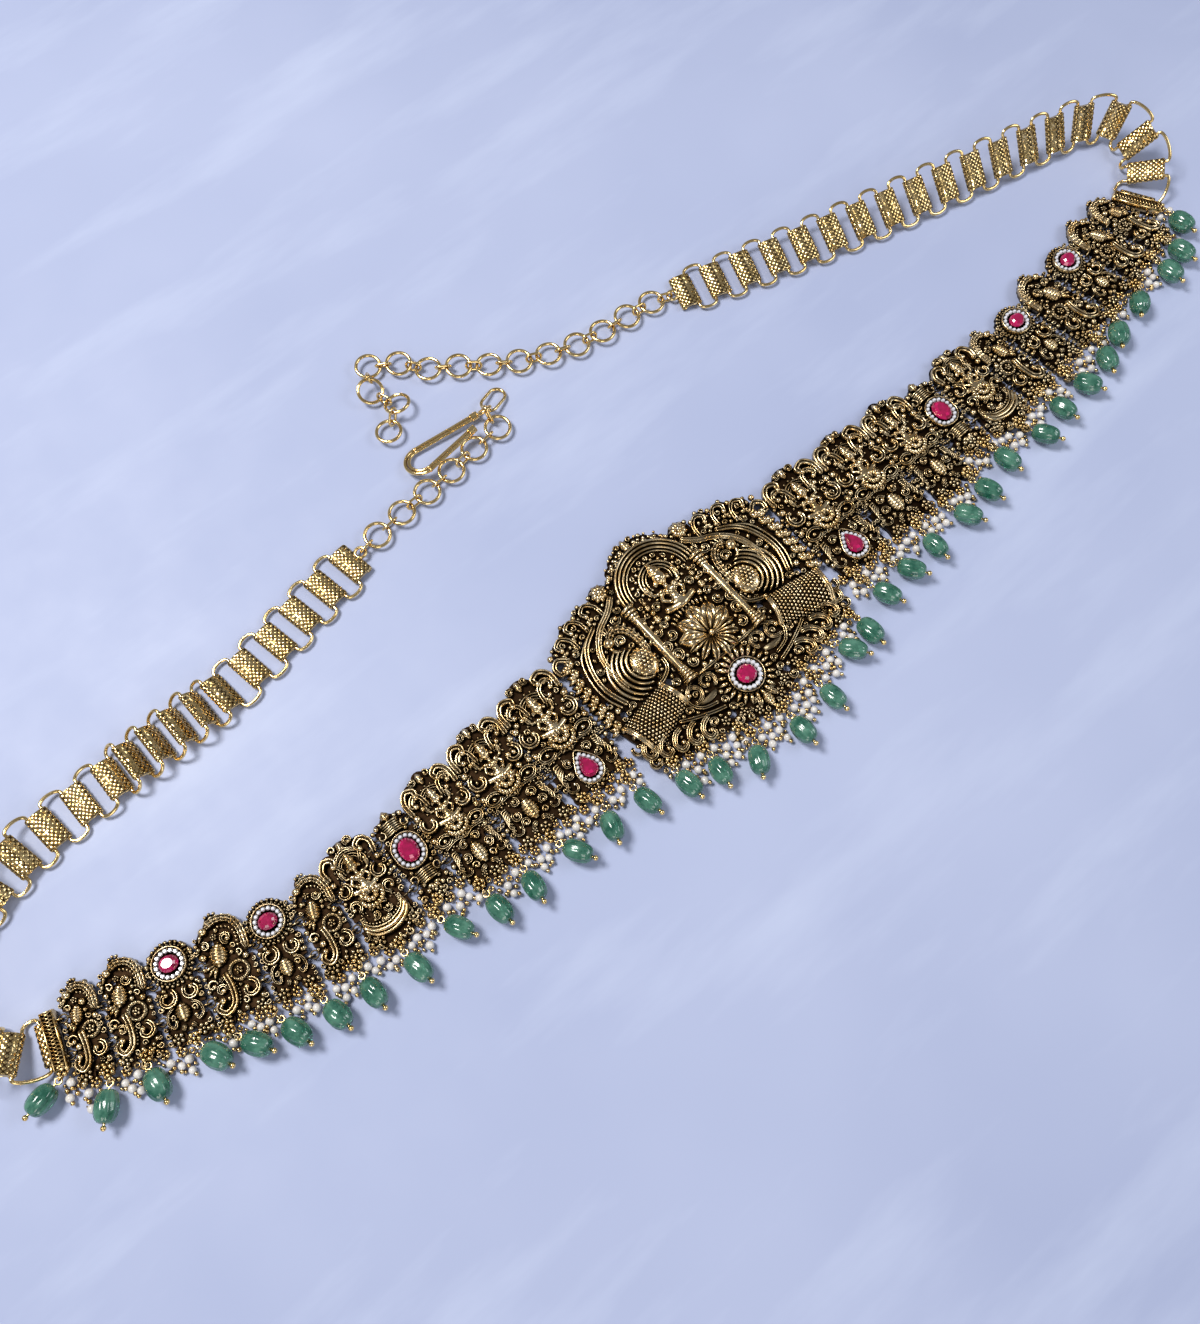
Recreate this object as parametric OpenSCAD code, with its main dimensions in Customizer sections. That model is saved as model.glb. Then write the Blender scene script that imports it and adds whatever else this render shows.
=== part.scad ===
// A temple-style hip chain, lying on its back: cast front panels linked edge to edge, a fringe of
// melon beads, a book chain at each end, and a ring chain with a hook.
// X runs along the front, Y is up as worn, and Z points out of the lying front.
// The origin is on the flat back of the medallion, under its lotus.

/* [Front panels] */
// Thickness of the back plates
plate_t = 1.4; // [1.3:0.1:1.5]
// Top of the low ornament above the surface
low_z = 2.4; // [2.3:0.1:2.5]
// Top of the scrolls above the surface
scroll_z = 3.0; // [2.9:0.1:3.2]
// Top of the medallion's raised middle
middle_z = 3.6; // [3.4:0.1:3.8]
// Height of the stone settings above the surface
setting_z = 3.4; // [3.3:0.1:3.6]

/* [Links between panels] */
// Mean radius of the linking eyes
eye_r = 1.0; // [0.98:0.01:1.02]
// Wire radius of the linking eyes
eye_wire = 0.22; // [0.2:0.01:0.24]

/* [Beads] */
// Length of a green melon bead
bead_l = 8.0; // [7.6:0.1:8.2]
// Diameter of a green melon bead
bead_d = 6.2; // [5.8:0.1:6.4]
// Diameter of the hole through a bead
bead_bore = 1.0; // [0.9:0.05:1.2]
// Diameter of a head pin
pin_d = 0.6; // [0.5:0.05:0.65]

/* [Book chain] */
// Length of a plate across the chain
book_l = 10.5; // [10:0.1:11]
// Distance between the two bores of a plate
book_b = 4.4; // [4.3:0.1:4.5]
// Wire radius of the rings between the plates
book_wire = 0.5; // [0.45:0.01:0.52]
// Outer radius of a plate's rolled edge
roll_r = 1.0; // [0.95:0.01:1.05]
// Bore radius of a plate's rolled edge
roll_bore = 0.68; // [0.66:0.01:0.72]
// How far a ring's round end stands out past the plates
ring_bow = 1.4; // [1.2:0.1:1.5]

/* [Ring chain and hook] */
// Mean radius of a round ring
loop_r = 3.5; // [3.4:0.05:3.6]
// Wire radius of a round ring
loop_wire = 0.48; // [0.44:0.01:0.5]
// Wire radius of the small links between the rings
link_wire = 0.4; // [0.36:0.01:0.42]
// Wire radius of each strand of the hook
hook_wire = 0.5; // [0.45:0.01:0.55]

/* [Hidden] */
$fn = 48;
sink = 0.2;
pierce = 0.5;
gold = [0.63, 0.49, 0.26];
bright_gold = [0.85, 0.72, 0.42];
ruby_red = [0.66, 0.04, 0.24];
bead_green = [0.20, 0.52, 0.42];

// Each row places one panel: X, Y and the turn about Z of its middle, from the medallion outwards
RIGHT = [
    [0, 4.5, 0], [47.9, 4.5, 0], [66.0, 4.5, 0], [82.7, 4.3, 0], [95.9, 4.1, 1], [109.8, 3.6, 2],
    [123.0, 4.6, 5], [135.4, 5.6, 8], [149.2, 7.7, 10], [163.0, 10.2, 11], [175.4, 12.8, 13],
    [186.3, 15.7, 18], [193.7, 18.2, 30]
];
LEFT = [
    [0, 4.5, 0], [-47.9, 4.5, 0], [-66.0, 4.5, 0], [-82.7, 4.4, 0], [-95.9, 4.2, -2], [-109.7, 4.0, -4],
    [-122.8, 5.5, -9], [-134.6, 8.0, -13], [-147.0, 11.6, -16], [-159.3, 15.6, -17], [-170.9, 19.7, -18],
    [-181.1, 23.4, -18], [-188.0, 26.0, -17]
];
// Half the width of each panel at its linking eyes
HALF = [37.6, 9.0, 8.2, 7.5, 4.9, 7.6, 5.2, 5.5, 6.7, 5.5, 5.6, 4.3, 1.9];
// How far above and below the panels' middle line each joint has its eyes, from the medallion outwards
EYES = [[0, 0], [6, -6], [6, -6], [6, -6], [9, -5.4], [9, -5.4], [4, -5], [4, -5], [4, -5], [4, -5],
        [4, -5], [4, -5], [4.5, -4.5]];
eye_z = eye_r + eye_wire + 0.04;
eye_step = 0.5 * eye_r;

// Each row hangs one bead: panel number, X and Y of the bead's middle, and the way its pin points in degrees
DROPS_RIGHT = [
    [0, 12.8, -34.2, 270], [0, 26.0, -28.2, 300], [0, 33.2, -27.6, 268], [1, 44.2, -23.0, 286],
    [1, 54.3, -22.2, 298], [2, 64.2, -21.6, 264], [3, 77.8, -21.0, 292], [3, 87.6, -19.4, 278],
    [4, 98.6, -16.4, 270], [5, 112.6, -18.0, 294], [6, 122.6, -15.6, 272], [7, 134.0, -14.8, 290],
    [8, 144.4, -13.0, 240], [8, 153.4, -9.6, 228], [9, 166.0, -6.6, 222], [10, 181.5, -5.2, 262],
    [11, 189.6, -2.6, 268], [12, 197.6, 4.2, 266]
];
DROPS_LEFT = [
    [0, -13.6, -34.0, 238], [0, -23.0, -29.6, 258], [0, -31.4, -26.8, 272], [1, -42.2, -23.2, 276],
    [1, -53.4, -22.2, 252], [2, -64.0, -21.4, 296], [3, -77.8, -20.8, 262], [3, -87.8, -19.6, 272],
    [4, -98.2, -16.6, 296], [5, -111.6, -17.6, 276], [6, -123.4, -15.2, 270], [7, -133.0, -13.6, 277],
    [8, -142.8, -10.4, 284], [8, -151.6, -6.4, 300], [9, -160.4, -2.4, 292], [10, -174.6, 1.4, 266],
    [11, -186.4, 5.2, 232], [12, -197.2, 16.4, 194]
];
DROP_MIDDLE = [0, 0.6, -35.6, 266];
drop_gap = 1.7;
drop_slope = 11;
drop_eye_r = 0.8;
drop_step = 0.45;
bail_z = 2.15;

// Rows of the book chains, by plate number from the end bar: heading of the next step in degrees
HEAD_RIGHT = [[0, 30], [1, 62], [2, 92], [3, 143], [4, 163], [6, 166], [10, 165], [18, 161]];
HEAD_LEFT = [[0, 156], [1, 122], [2, 86], [3, 56], [4, 38], [5, 27], [6, 17], [7, 9], [8, 3], [9, 0],
             [14, 1], [15, 8], [17, 11], [20, 8]];
// Rows by plate number: how far a plate leans up on its inner edge, in degrees
LEAN_RIGHT = [[0, 0], [1, 26], [2, 52], [3, 66], [4, 60], [5, 54], [7, 44], [10, 30], [14, 14], [18, 0]];
LEAN_LEFT = [[0, 0], [1, 26], [2, 52], [3, 60], [4, 56], [5, 44], [6, 30], [7, 16], [8, 6], [9, 0], [20, 0]];
// Rows by plate number: distance from one plate to the next, seen from above
STEP_RIGHT = [[0, 7.6], [1, 9.7], [20, 9.7]];
STEP_LEFT = [[0, 7.6], [1, 9.7], [9, 9.7], [10, 6.9], [14, 6.9], [15, 9.7], [20, 9.7]];
// Rows by plate number: how steeply a bunched plate dips along the chain, in degrees
DIP_RIGHT = [[0, 0], [20, 0]];
DIP_LEFT = [[0, 0], [9, 0], [10, 20], [11, 48], [14, 48], [15, 20], [16, 0], [20, 0]];
plates_right = 18;
plates_left = 20;
end_reach = 2.8;

// Rows of the ring chains, by ring number from the book chain: heading of the next step in degrees
RINGS_RIGHT = [[0, 174], [1, 174], [2, 171], [3, 160], [4, 155], [5, 147], [6, 142], [7, 145], [8, 128],
               [9, 146], [10, 238], [11, 292], [12, 216]];
RINGS_LEFT = [[0, 6], [1, 3], [2, 5], [3, 8], [4, 5], [5, 5]];
// How far each ring banks about the chain's line, in degrees
BANK_RIGHT = [0, 4, -3, 4, -4, 3, -4, 4, -3, 4, 5, 20, -18, -6];
BANK_LEFT = [3, -3, 2, 0, 0, 2];
ring_step_right = 8.8;
ring_step_left = 9.3;
ring_z = 1.78;

// Plain helpers
function unit(v) = v / norm(v);
function along(a) = [cos(a), sin(a)];
function angle_of(v) = atan2(v[1], v[0]);

// A solid standing on height z
module slab(z, h) {
    translate([0, 0, z]) linear_extrude(h) children();
}

// Ornament from the back plate up to height top
module raised(top) {
    slab(plate_t - sink, top - plate_t + sink) children();
}

module both_sides() {
    children();
    mirror([1, 0, 0]) children();
}

module rod(p, q, r) {
    d = q - p;
    translate(p)
        rotate([0, acos(d[2] / norm(d)), atan2(d[1], d[0])])
            cylinder(r = r, h = norm(d));
}

module ring_of_wire(mean, wire) {
    rotate_extrude() translate([mean, 0]) circle(wire);
}

// A band of width w along a circle of radius r, from angle a0 to a1
module band(r, a0, a1, w) {
    difference() {
        circle(r + w / 2);
        circle(r - w / 2);
        polygon(concat([[0, 0]], [for (t = [0:0.25:1]) 3 * r * along(a1 + (a0 + 360 - a1) * t)]));
    }
}

// A C-scroll of radius r that runs from angle a0 to a1: a crescent of wire w, with a ball at its inner end
module scroll(r, a0, a1, w) {
    gap = (a0 + a1) / 2 + 180;
    tip = gap + (a1 > a0 ? -52 : 52);
    difference() {
        circle(r + w / 2);
        translate(0.9 * w * along(gap)) circle(r - 0.3 * w);
    }
    translate(0.8 * r * along(tip)) circle(0.8 * w);
}

// A domed boss of radius r and height h, as the cap of a ball
module button(r, h) {
    ball = (r * r + h * h) / (2 * h);
    intersection() {
        translate([0, 0, h - ball]) sphere(ball);
        translate([-r - h, -r - h, 0]) cube([2 * (r + h), 2 * (r + h), h + 1]);
    }
}

// A domed bud of half-width a and half-length b along Y, with its top at height h
module bud(a, b, h) {
    intersection() {
        translate([0, 0, h - a]) rotate([90, 0, 0]) rotate_extrude()
            polygon([[0, -b], [0.55 * a, -0.84 * b], [0.9 * a, -0.4 * b], [a, 0.05 * b], [0.86 * a, 0.5 * b],
                     [0.45 * a, 0.88 * b], [0, b]]);
        translate([-a - 1, -b - 1, 0]) cube([2 * a + 2, 2 * b + 2, h + 1]);
    }
}

module petals(n, r, petal) {
    circle(r - 0.4 * petal);
    for (i = [0:n - 1]) rotate(360 * i / n) translate([r - petal, 0]) circle(petal);
}

// A five-petalled flower charm
module flower(r) {
    raised(low_z) petals(5, r, 0.42 * r);
    translate([0, 0, low_z - sink]) button(0.4 * r, 0.7);
}

// Outlines of the stones, as points round their edge
function oval(a, b, n) = [for (i = [0:n - 1]) [a * cos(360 * i / n), b * sin(360 * i / n)]];
function teardrop(a, b, n) = [for (i = [0:n - 1]) let (t = 360 * i / n)
    [-1.3 * a * sin(t) * pow(sin(t / 2), 1.1), b * cos(t)]];

// A faceted stone with a flat table, standing on z = 0
module cut_stone(points, h) {
    n = len(points);
    LEVELS = [[0.55, 0], [1, 0.42], [1, 0.52], [0.8, 0.84], [0.56, 1]];
    polyhedron(
        points = [for (l = LEVELS, p = points) [p[0] * l[0], p[1] * l[0], h * l[1]]],
        faces = concat(
            [[for (i = [0:n - 1]) i]],
            [for (k = [0:len(LEVELS) - 2], i = [0:n - 1])
                [k * n + i, (k + 1) * n + i, (k + 1) * n + (i + 1) % n, k * n + (i + 1) % n]],
            [[for (i = [n - 1:-1:0]) (len(LEVELS) - 1) * n + i]]
        )
    );
}

// Outlines of the settings: a round or long one, and a pointed one
module long_round(r, half) {
    for (y = [-half, half]) translate([0, y]) circle(r);
    if (half > 0) square([2 * r, 2 * half], center = true);
}

module pointed(r, tip) {
    a = acos(r / tip);
    circle(r);
    polygon([[0, tip], r * along(90 + a), [0, 0], r * along(90 - a)]);
}

// A collar that stands round a ledge, on which the halo of a stone lies
module setting(r, half) {
    raised(setting_z - 0.8) long_round(r, half);
    difference() {
        raised(setting_z) long_round(r, half);
        slab(setting_z - 0.9, 2) long_round(r - 0.5, half);
    }
}

module pointed_setting(r, tip) {
    raised(setting_z - 0.8) pointed(r, tip);
    difference() {
        raised(setting_z) pointed(r, tip);
        slab(setting_z - 0.9, 2) pointed(r - 0.5, tip - 0.9);
    }
}

// The hole that a stone sits in; its floor is the stone's seat
module pocket() {
    slab(plate_t + 0.4, 5) children();
}

// Places of panels, joints and stones
function row_of(side, i) = side > 0 ? RIGHT[i] : LEFT[i];
function mid_of(side, i) = [row_of(side, i)[0], row_of(side, i)[1]];
function joint_of(side, i) = mid_of(side, i - 1)
    + (mid_of(side, i) - mid_of(side, i - 1)) * HALF[i - 1] / (HALF[i - 1] + HALF[i]);
function joint_turn(side, i) = angle_of(mid_of(side, i) - mid_of(side, i - 1));

module at_panel(side, i) {
    translate(concat(mid_of(side, i), 0)) rotate(row_of(side, i)[2])
        mirror([side > 0 ? 0 : 1, 0, 0]) children();
}

// The frame of one linking eye of joint i, with +X pointing outwards
module at_eye(side, i, k) {
    translate(concat(joint_of(side, i), 0)) rotate(joint_turn(side, i))
        translate([0, side * EYES[i][k], eye_z]) children();
}

// The end bar is narrow, so its eyes have shorter stems
function eye_stem(i) = i == 12 ? 1.4 : 2.6;

module flat_eye(side, i) {
    for (k = [0, 1]) at_eye(side, i, k) {
        translate([-eye_step, 0, 0]) ring_of_wire(eye_r, eye_wire);
        rod([-eye_step - eye_r - eye_stem(0), 0, -0.5], [-eye_step - eye_r, 0, 0], 0.42);
    }
}

module upright_eye(side, i) {
    for (k = [0, 1]) at_eye(side, i, k) {
        translate([eye_step, 0, 0]) rotate([90, 0, 0]) ring_of_wire(eye_r, eye_wire);
        rod([eye_step + eye_r + eye_stem(i), 0, -0.5], [eye_step + eye_r, 0, 0], 0.42);
    }
}

// The clear space that joint i needs in the panels beside it
module eye_notch(side, i) {
    for (k = [0, 1]) at_eye(side, i, k) translate([0, 0, 0.4]) cube([3.9, 2.9, 3.7], center = true);
}

// Places of the drops
function drops_of(side) = side > 0 ? DROPS_RIGHT : DROPS_LEFT;
bead_z = bead_d / 2 + 0.12;

// The frame of a drop's bead: +X along its pin, towards the tip
module at_drop(d) {
    translate([d[1], d[2], bead_z]) rotate([0, -drop_slope, d[3]]) children();
}

// Where a drop's eye meets its bail
function drop_joint(d) = let (reach = bead_l / 2 + drop_gap)
    [d[1] - reach * cos(drop_slope) * cos(d[3]), d[2] - reach * cos(drop_slope) * sin(d[3]),
     bead_z - reach * sin(drop_slope)];

// The lobes of each panel's lower edge that can carry a drop, in the panel's own X and Y
LOBES = [
    [[-29.6, -19.4], [-22.6, -20.2], [-12.6, -20.6], [-0.4, -25], [12.6, -20.6], [22.6, -20.2],
     [29.6, -19.4]],
    [[-6.6, -15.6], [0, -15.6], [6.6, -15.6]], [[-5.8, -15.6], [0, -15.6], [5.8, -15.6]],
    [[-5.1, -15.6], [0, -15.6], [5.1, -15.6]], [[0, -10.6]], [[-4.4, -10.6], [0, -13], [4.4, -10.6]],
    [[-3.0, -10.2], [3.0, -10.2]], [[-3.2, -10], [3.2, -10]], [[-4.4, -10.2], [4.4, -10.2]],
    [[-3.2, -10], [3.2, -10]],
    [[-3.4, -10.2], [3.4, -10.2]], [[-2.3, -10.2], [2.3, -10.2]], [[0, -6.2]]
];

// A lobe of panel i as seen from above
function lobe_at(side, i, k) = let (
    p = LOBES[i][k], a = row_of(side, i)[2], m = mid_of(side, i), x = side * p[0])
    [m[0] + x * cos(a) - p[1] * sin(a), m[1] + x * sin(a) + p[1] * cos(a)];
function flat(p) = [p[0], p[1]];
function nearest(side, i, j, k = 0) = let (last = len(LOBES[i]) - 1)
    k == last ? k
              : let (rest = nearest(side, i, j, k + 1))
                norm(lobe_at(side, i, k) - flat(j)) < norm(lobe_at(side, i, rest) - flat(j)) ? k : rest;

// The bails under panel i that carry its drops
module bails(side, i) {
    for (d = concat(drops_of(side), side > 0 ? [DROP_MIDDLE] : [])) if (d[0] == i) bail(side, i, d);
}

module bail(side, i, d) {
    j = drop_joint(d);
    way = [cos(d[3]), sin(d[3]), 0];
    knee = j - (drop_step + drop_eye_r + 0.5) * way - [0, 0, 0.4];
    lobe = lobe_at(side, i, nearest(side, i, j));
    translate(j) rotate([0, 0, d[3]]) translate([-drop_step, 0, 0]) rotate([90, 0, 0])
        ring_of_wire(drop_eye_r, eye_wire);
    rod(j - (drop_step + drop_eye_r) * way, knee, 0.4);
    translate(knee) sphere(0.6);
    rod(knee, [lobe[0], lobe[1], plate_t - 0.6], 0.5);
}

// A seated figure in relief, on a lotus, standing on z = 0 with its feet at the origin
module figure() {
    for (x = [-2.9, 0, 2.9]) translate([x, 0.5, 0]) button(1.6, 1.6);
    translate([-2.6, 2.5, 0.9]) rotate([0, 90, 0]) cylinder(r = 1.15, h = 5.2);
    both_sides() translate([2.6, 2.5, 0.9]) sphere(1.15);
    translate([0, 2.6, 1.0]) rotate([-90, 0, 0]) cylinder(r1 = 1.75, r2 = 1.25, h = 2.6);
    translate([0, 5.0, 1.0]) rotate([-90, 0, 0]) cylinder(r1 = 1.2, r2 = 1.75, h = 2.2);
    both_sides() {
        rod([1.5, 6.6, 1.1], [3.2, 4.9, 1.1], 0.55);
        rod([3.2, 4.9, 1.1], [2.0, 3.1, 2.0], 0.5);
        rod([1.4, 6.8, 0.9], [3.7, 8.2, 0.8], 0.5);
        translate([3.9, 9.2, 0.4]) button(0.9, 1.5);
    }
    translate([0, 7.0, 1.2]) rotate([-90, 0, 0]) cylinder(r = 0.7, h = 1.4);
    translate([0, 9.3, 1.5]) sphere(1.5);
    translate([0, 10.2, 1.3]) rotate([-90, 0, 0]) cylinder(r1 = 1.5, r2 = 1.1, h = 1.3);
    translate([0, 11.4, 1.2]) rotate([-90, 0, 0]) cylinder(r1 = 1.15, r2 = 0.3, h = 2.6);
}

// A peacock in relief that looks out along +X over its own tail; the origin is under its breast
module peacock() {
    button(4.2, 3.2);
    slab(0, 2.0) {
        band(5.4, -75, 62, 1.2);
        band(7.1, -64, 54, 1.2);
        band(8.8, -54, 46, 1.2);
        polygon([[4.2, 9.4], [6.2, 9.2], [5.0, 5.6]]);
    }
    slab(0, 2.6) translate([1.4, 8.2]) band(3.5, 20, 205, 2.2);
    translate([4.9, 9.6, 0]) button(1.6, 2.9);
    for (a = [60, 85, 110]) translate(concat([1.4, 8.2] + 5.4 * along(a), 0)) button(0.6, 1.6);
}

// Goddess panels: w is half the width, k the size of the figure, low the height of the lower field
module goddess_outline(w, k) {
    square([2 * w, 22], center = true);
    translate([0, 10]) petals(8, w, 2.2);
    translate([0, 15 * k]) circle(4.4 * k);
    translate([0, -11]) square([2 * w - 1.4, 9], center = true);
    for (x = [-1, 0, 1]) translate([x * (w - 2.4), -15.6]) circle(1.9);
}

module goddess_gaps(w, k) {
    both_sides() {
        translate([w - 3.6, 12.6 * k]) circle(pierce * 1.7);
        translate([w - 2.9, -6.7]) circle(pierce * 1.6);
    }
}

module goddess_relief(w, k) {
    raised(low_z) {
        both_sides() {
            translate([w - 2.6, 13.5 * k]) scroll(2.4, -40, 230, 0.9);
            translate([w - 3.2, 5.4]) scroll(2.7, 250, 10, 1.0);
            translate([w - 2.4, -2.6]) scroll(2.0, 90, -190, 0.9);
            translate([w - 3.0, -10.6]) scroll(2.6, -60, 200, 1.0);
        }
        translate([0, -0.6]) square([2 * w - 5, 1.8], center = true);
        translate([0, -3.6]) band(8, 55, 125, 1.4);
    }
    raised(scroll_z) translate([0, 9.5 * k]) band(6.6 * k, -20, 200, 1.0);
    both_sides() translate([w - 1.6, 10, plate_t - sink]) button(1.1, 1.6);
    translate([0, 17.6 * k, plate_t - sink]) button(1.5, 2.0);
    translate([0, 0.4, plate_t - sink]) scale(k) figure();
    for (x = [-1, 0, 1]) translate([x * (w - 2.4), -15.6, 0]) flower(1.7);
}

module goddess_panel(side, i, w, k) {
    color(gold) union() {
        difference() {
            at_panel(side, i) {
                difference() {
                    slab(0, plate_t) goddess_outline(w, k);
                    slab(-1, plate_t + 2) goddess_gaps(w, k);
                }
                goddess_relief(w, k);
                if (i == 1) translate([0, -11.8, 0]) pointed_setting(3.7, 7.2);
                else translate([0, -10.4, plate_t - sink]) bud(3.4 - 0.3 * i, 4.2 - 0.3 * i, 2.6);
            }
            if (i == 1) at_panel(side, i) translate([0, -11.7, 0]) pocket() pointed(2.45, 5.0);
            eye_notch(side, i);
            eye_notch(side, i + 1);
        }
        upright_eye(side, i);
        flat_eye(side, i + 1);
        bails(side, i);
    }
}

// Outlines of the rubies
TEAR = teardrop(2.3, 3.3, 12);
OVAL = oval(2.5, 3.3, 12);
ROUND = oval(2.5, 2.1, 12);
HEART = oval(2.8, 2.6, 12);

module barrel(y) {
    for (x = [-2.0, -1.0, 0, 1.0, 2.0]) translate([x, y, 1.75])
        rotate([0, 90, 0]) cylinder(r = 1.65 - 0.08 * abs(x), h = 1.06, center = true);
}

module barrel_link(side) {
    i = 4;
    color(gold) union() {
        difference() {
            at_panel(side, i) {
                slab(0, plate_t) {
                    translate([0, 2.4]) circle(5.1);
                    translate([0, 0.6]) square([9.4, 21.6], center = true);
                    translate([0, 11.6]) circle(2.4);
                    translate([0, -10.2]) circle(2.2);
                }
                translate([0, 2.4, 0]) setting(4.1, 0.8);
                barrel(9.6);
                barrel(-5.0);
                translate([0, 13, plate_t - sink]) button(1.3, 1.8);
                both_sides() translate([3.2, 12, plate_t - sink]) button(1.0, 1.2);
                for (x = [-1.9, 0, 1.9]) translate([x, -8.6, plate_t - sink]) button(1.1, 1.8);
                translate([0, -10.6, 0]) flower(1.8);
            }
            at_panel(side, i) translate([0, 2.4, 0]) pocket() long_round(2.65, 0.8);
            eye_notch(side, i);
            eye_notch(side, i + 1);
        }
        upright_eye(side, i);
        flat_eye(side, i + 1);
        bails(side, i);
    }
}

module throne_panel(side) {
    i = 5;
    w = 7.2;
    color(gold) union() {
        difference() {
            at_panel(side, i) {
                difference() {
                    slab(0, plate_t) {
                        translate([0, 1]) square([2 * w, 22], center = true);
                        both_sides() translate([w - 2.4, 12]) circle(2.4);
                        translate([0, 12]) circle(4.4);
                        translate([0, -9]) circle(5.2);
                        both_sides() translate([w - 2.8, -10]) circle(2.2);
                    }
                    slab(-1, plate_t + 2) {
                        both_sides() translate([w - 3.0, 7.2]) circle(pierce * 1.6);
                        both_sides() translate([w - 3.4, -6.8]) circle(pierce * 1.7);
                    }
                }
                raised(low_z) {
                    both_sides() {
                        translate([w - 2.6, 12.4]) scroll(2.2, -80, 170, 0.9);
                        translate([w - 2.4, 3.2]) scroll(2.2, 80, 330, 0.9);
                        translate([w - 3.0, -3.4]) scroll(2.6, 100, -160, 1.0);
                    }
                    translate([0, -9]) band(4.2, 170, 370, 1.5);
                }
                both_sides() translate([w - 2.2, 13, plate_t - sink]) button(1.4, 2.2);
                translate([0, 0.6, plate_t - sink]) scale(0.92) figure();
                both_sides() translate([w - 2.8, -10.6, 0]) flower(1.6);
                translate([0, -7.4, plate_t - sink]) button(1.8, 1.8);
            }
            eye_notch(side, i);
            eye_notch(side, i + 1);
        }
        upright_eye(side, i);
        flat_eye(side, i + 1);
        bails(side, i);
    }
}

// Peacock panels: w is half the width, k the size of the ornament
module peacock_panel(side, i, w, k) {
    color(gold) union() {
        difference() {
            at_panel(side, i) {
                difference() {
                    slab(0, plate_t) {
                        translate([0, -1]) square([2 * w, 18], center = true);
                        translate([0, 7.6]) circle(w);
                        translate([0.6, 12.4 * k]) circle(1.8);
                        for (x = [-1, 1]) translate([x * (w - 1.9), -10.2]) circle(1.9);
                    }
                    slab(-1, plate_t + 2) {
                        translate([0.4 * w, 8.6]) circle(pierce * 1.7);
                        translate([0, -6.6]) circle(pierce * 2.2);
                    }
                }
                raised(scroll_z) {
                    translate([0, 6.2]) band(w - 0.8, -10, 190, 1.5);
                    translate([-0.42 * w, -4.8 * k]) scroll(2.5 * k, 120, 400, 1.0);
                    translate([0.42 * w, -5.6 * k]) scroll(2.7 * k, 60, -240, 1.0);
                }
                raised(low_z) translate([-0.34 * w, 0.8]) petals(11, 2.9 * k, 0.7 * k);
                translate([-0.34 * w, 0.8, low_z - sink]) button(1.2 * k, 1.2);
                translate([0.36 * w, 4.2 * k, plate_t - sink]) bud(2.4 * k, 3.0 * k, 2.6);
                translate([0.6, 12.4 * k, plate_t - sink]) button(1.2, 2.0);
                for (x = [-1, 1]) translate([x * (w - 1.9), -10.2, 0]) flower(1.7);
            }
            eye_notch(side, i);
            eye_notch(side, i + 1);
        }
        upright_eye(side, i);
        flat_eye(side, i + 1);
        bails(side, i);
    }
}

module rosette_panel(side, i) {
    color(gold) union() {
        difference() {
            at_panel(side, i) {
                difference() {
                    slab(0, plate_t) {
                        translate([0, 7.6]) petals(16, 5.9, 0.8);
                        translate([0, -2.6]) square([10.6, 13], center = true);
                        for (x = [-1, 1]) translate([x * 3.2, -10]) circle(1.9);
                    }
                    slab(-1, plate_t + 2) both_sides() translate([3.3, -6.4]) circle(pierce * 1.6);
                }
                translate([0, 7.6, 0]) setting(4.3, 0);
                for (a = [0:22.5:337.5])
                    translate(concat([0, 7.6] + 5.2 * along(a), plate_t - sink)) button(0.6, 1.3);
                raised(low_z) {
                    translate([2.6, 0.2]) scroll(2.3, 150, 400, 1.0);
                    translate([-3.0, 0.0]) scroll(1.9, 40, -200, 0.9);
                    both_sides() translate([4.0, -4.4]) circle(1.1);
                }
                translate([0, -4.4, plate_t - sink]) bud(2.0, 2.7, 2.6);
                for (x = [-1, 1]) translate([x * 3.2, -10, 0]) flower(1.7);
            }
            at_panel(side, i) translate([0, 7.6, 0]) pocket() circle(2.65);
            eye_notch(side, i);
            eye_notch(side, i + 1);
        }
        upright_eye(side, i);
        flat_eye(side, i + 1);
        bails(side, i);
    }
}

// The bar that ends the front: its outer edge is rolled to hold the first ring of the book chain
module end_bar(side) {
    i = 12;
    color(gold) union() {
        difference() {
            at_panel(side, i) {
                slab(0, plate_t) {
                    square([3.2, 14], center = true);
                    translate([end_reach / 2, 0]) square([end_reach, book_l], center = true);
                }
                raised(low_z) {
                    for (x = [-1.3, 1.3]) translate([x, 0]) square([0.6, 14], center = true);
                    for (y = [-6.7, 6.7]) translate([0, y]) square([3.2, 0.6], center = true);
                    for (y = [-5:2:5]) translate([0, y]) rotate(45) square([0.9, 0.9], center = true);
                }
                translate([end_reach, -book_l / 2, roll_r + 0.05]) rotate([-90, 0, 0])
                    cylinder(r = roll_r, h = book_l);
            }
            at_panel(side, i) translate([end_reach, -8, roll_r + 0.05]) rotate([-90, 0, 0])
                cylinder(r = roll_bore, h = 16);
            eye_notch(side, i);
        }
        upright_eye(side, i);
        bails(side, i);
    }
}

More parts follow.
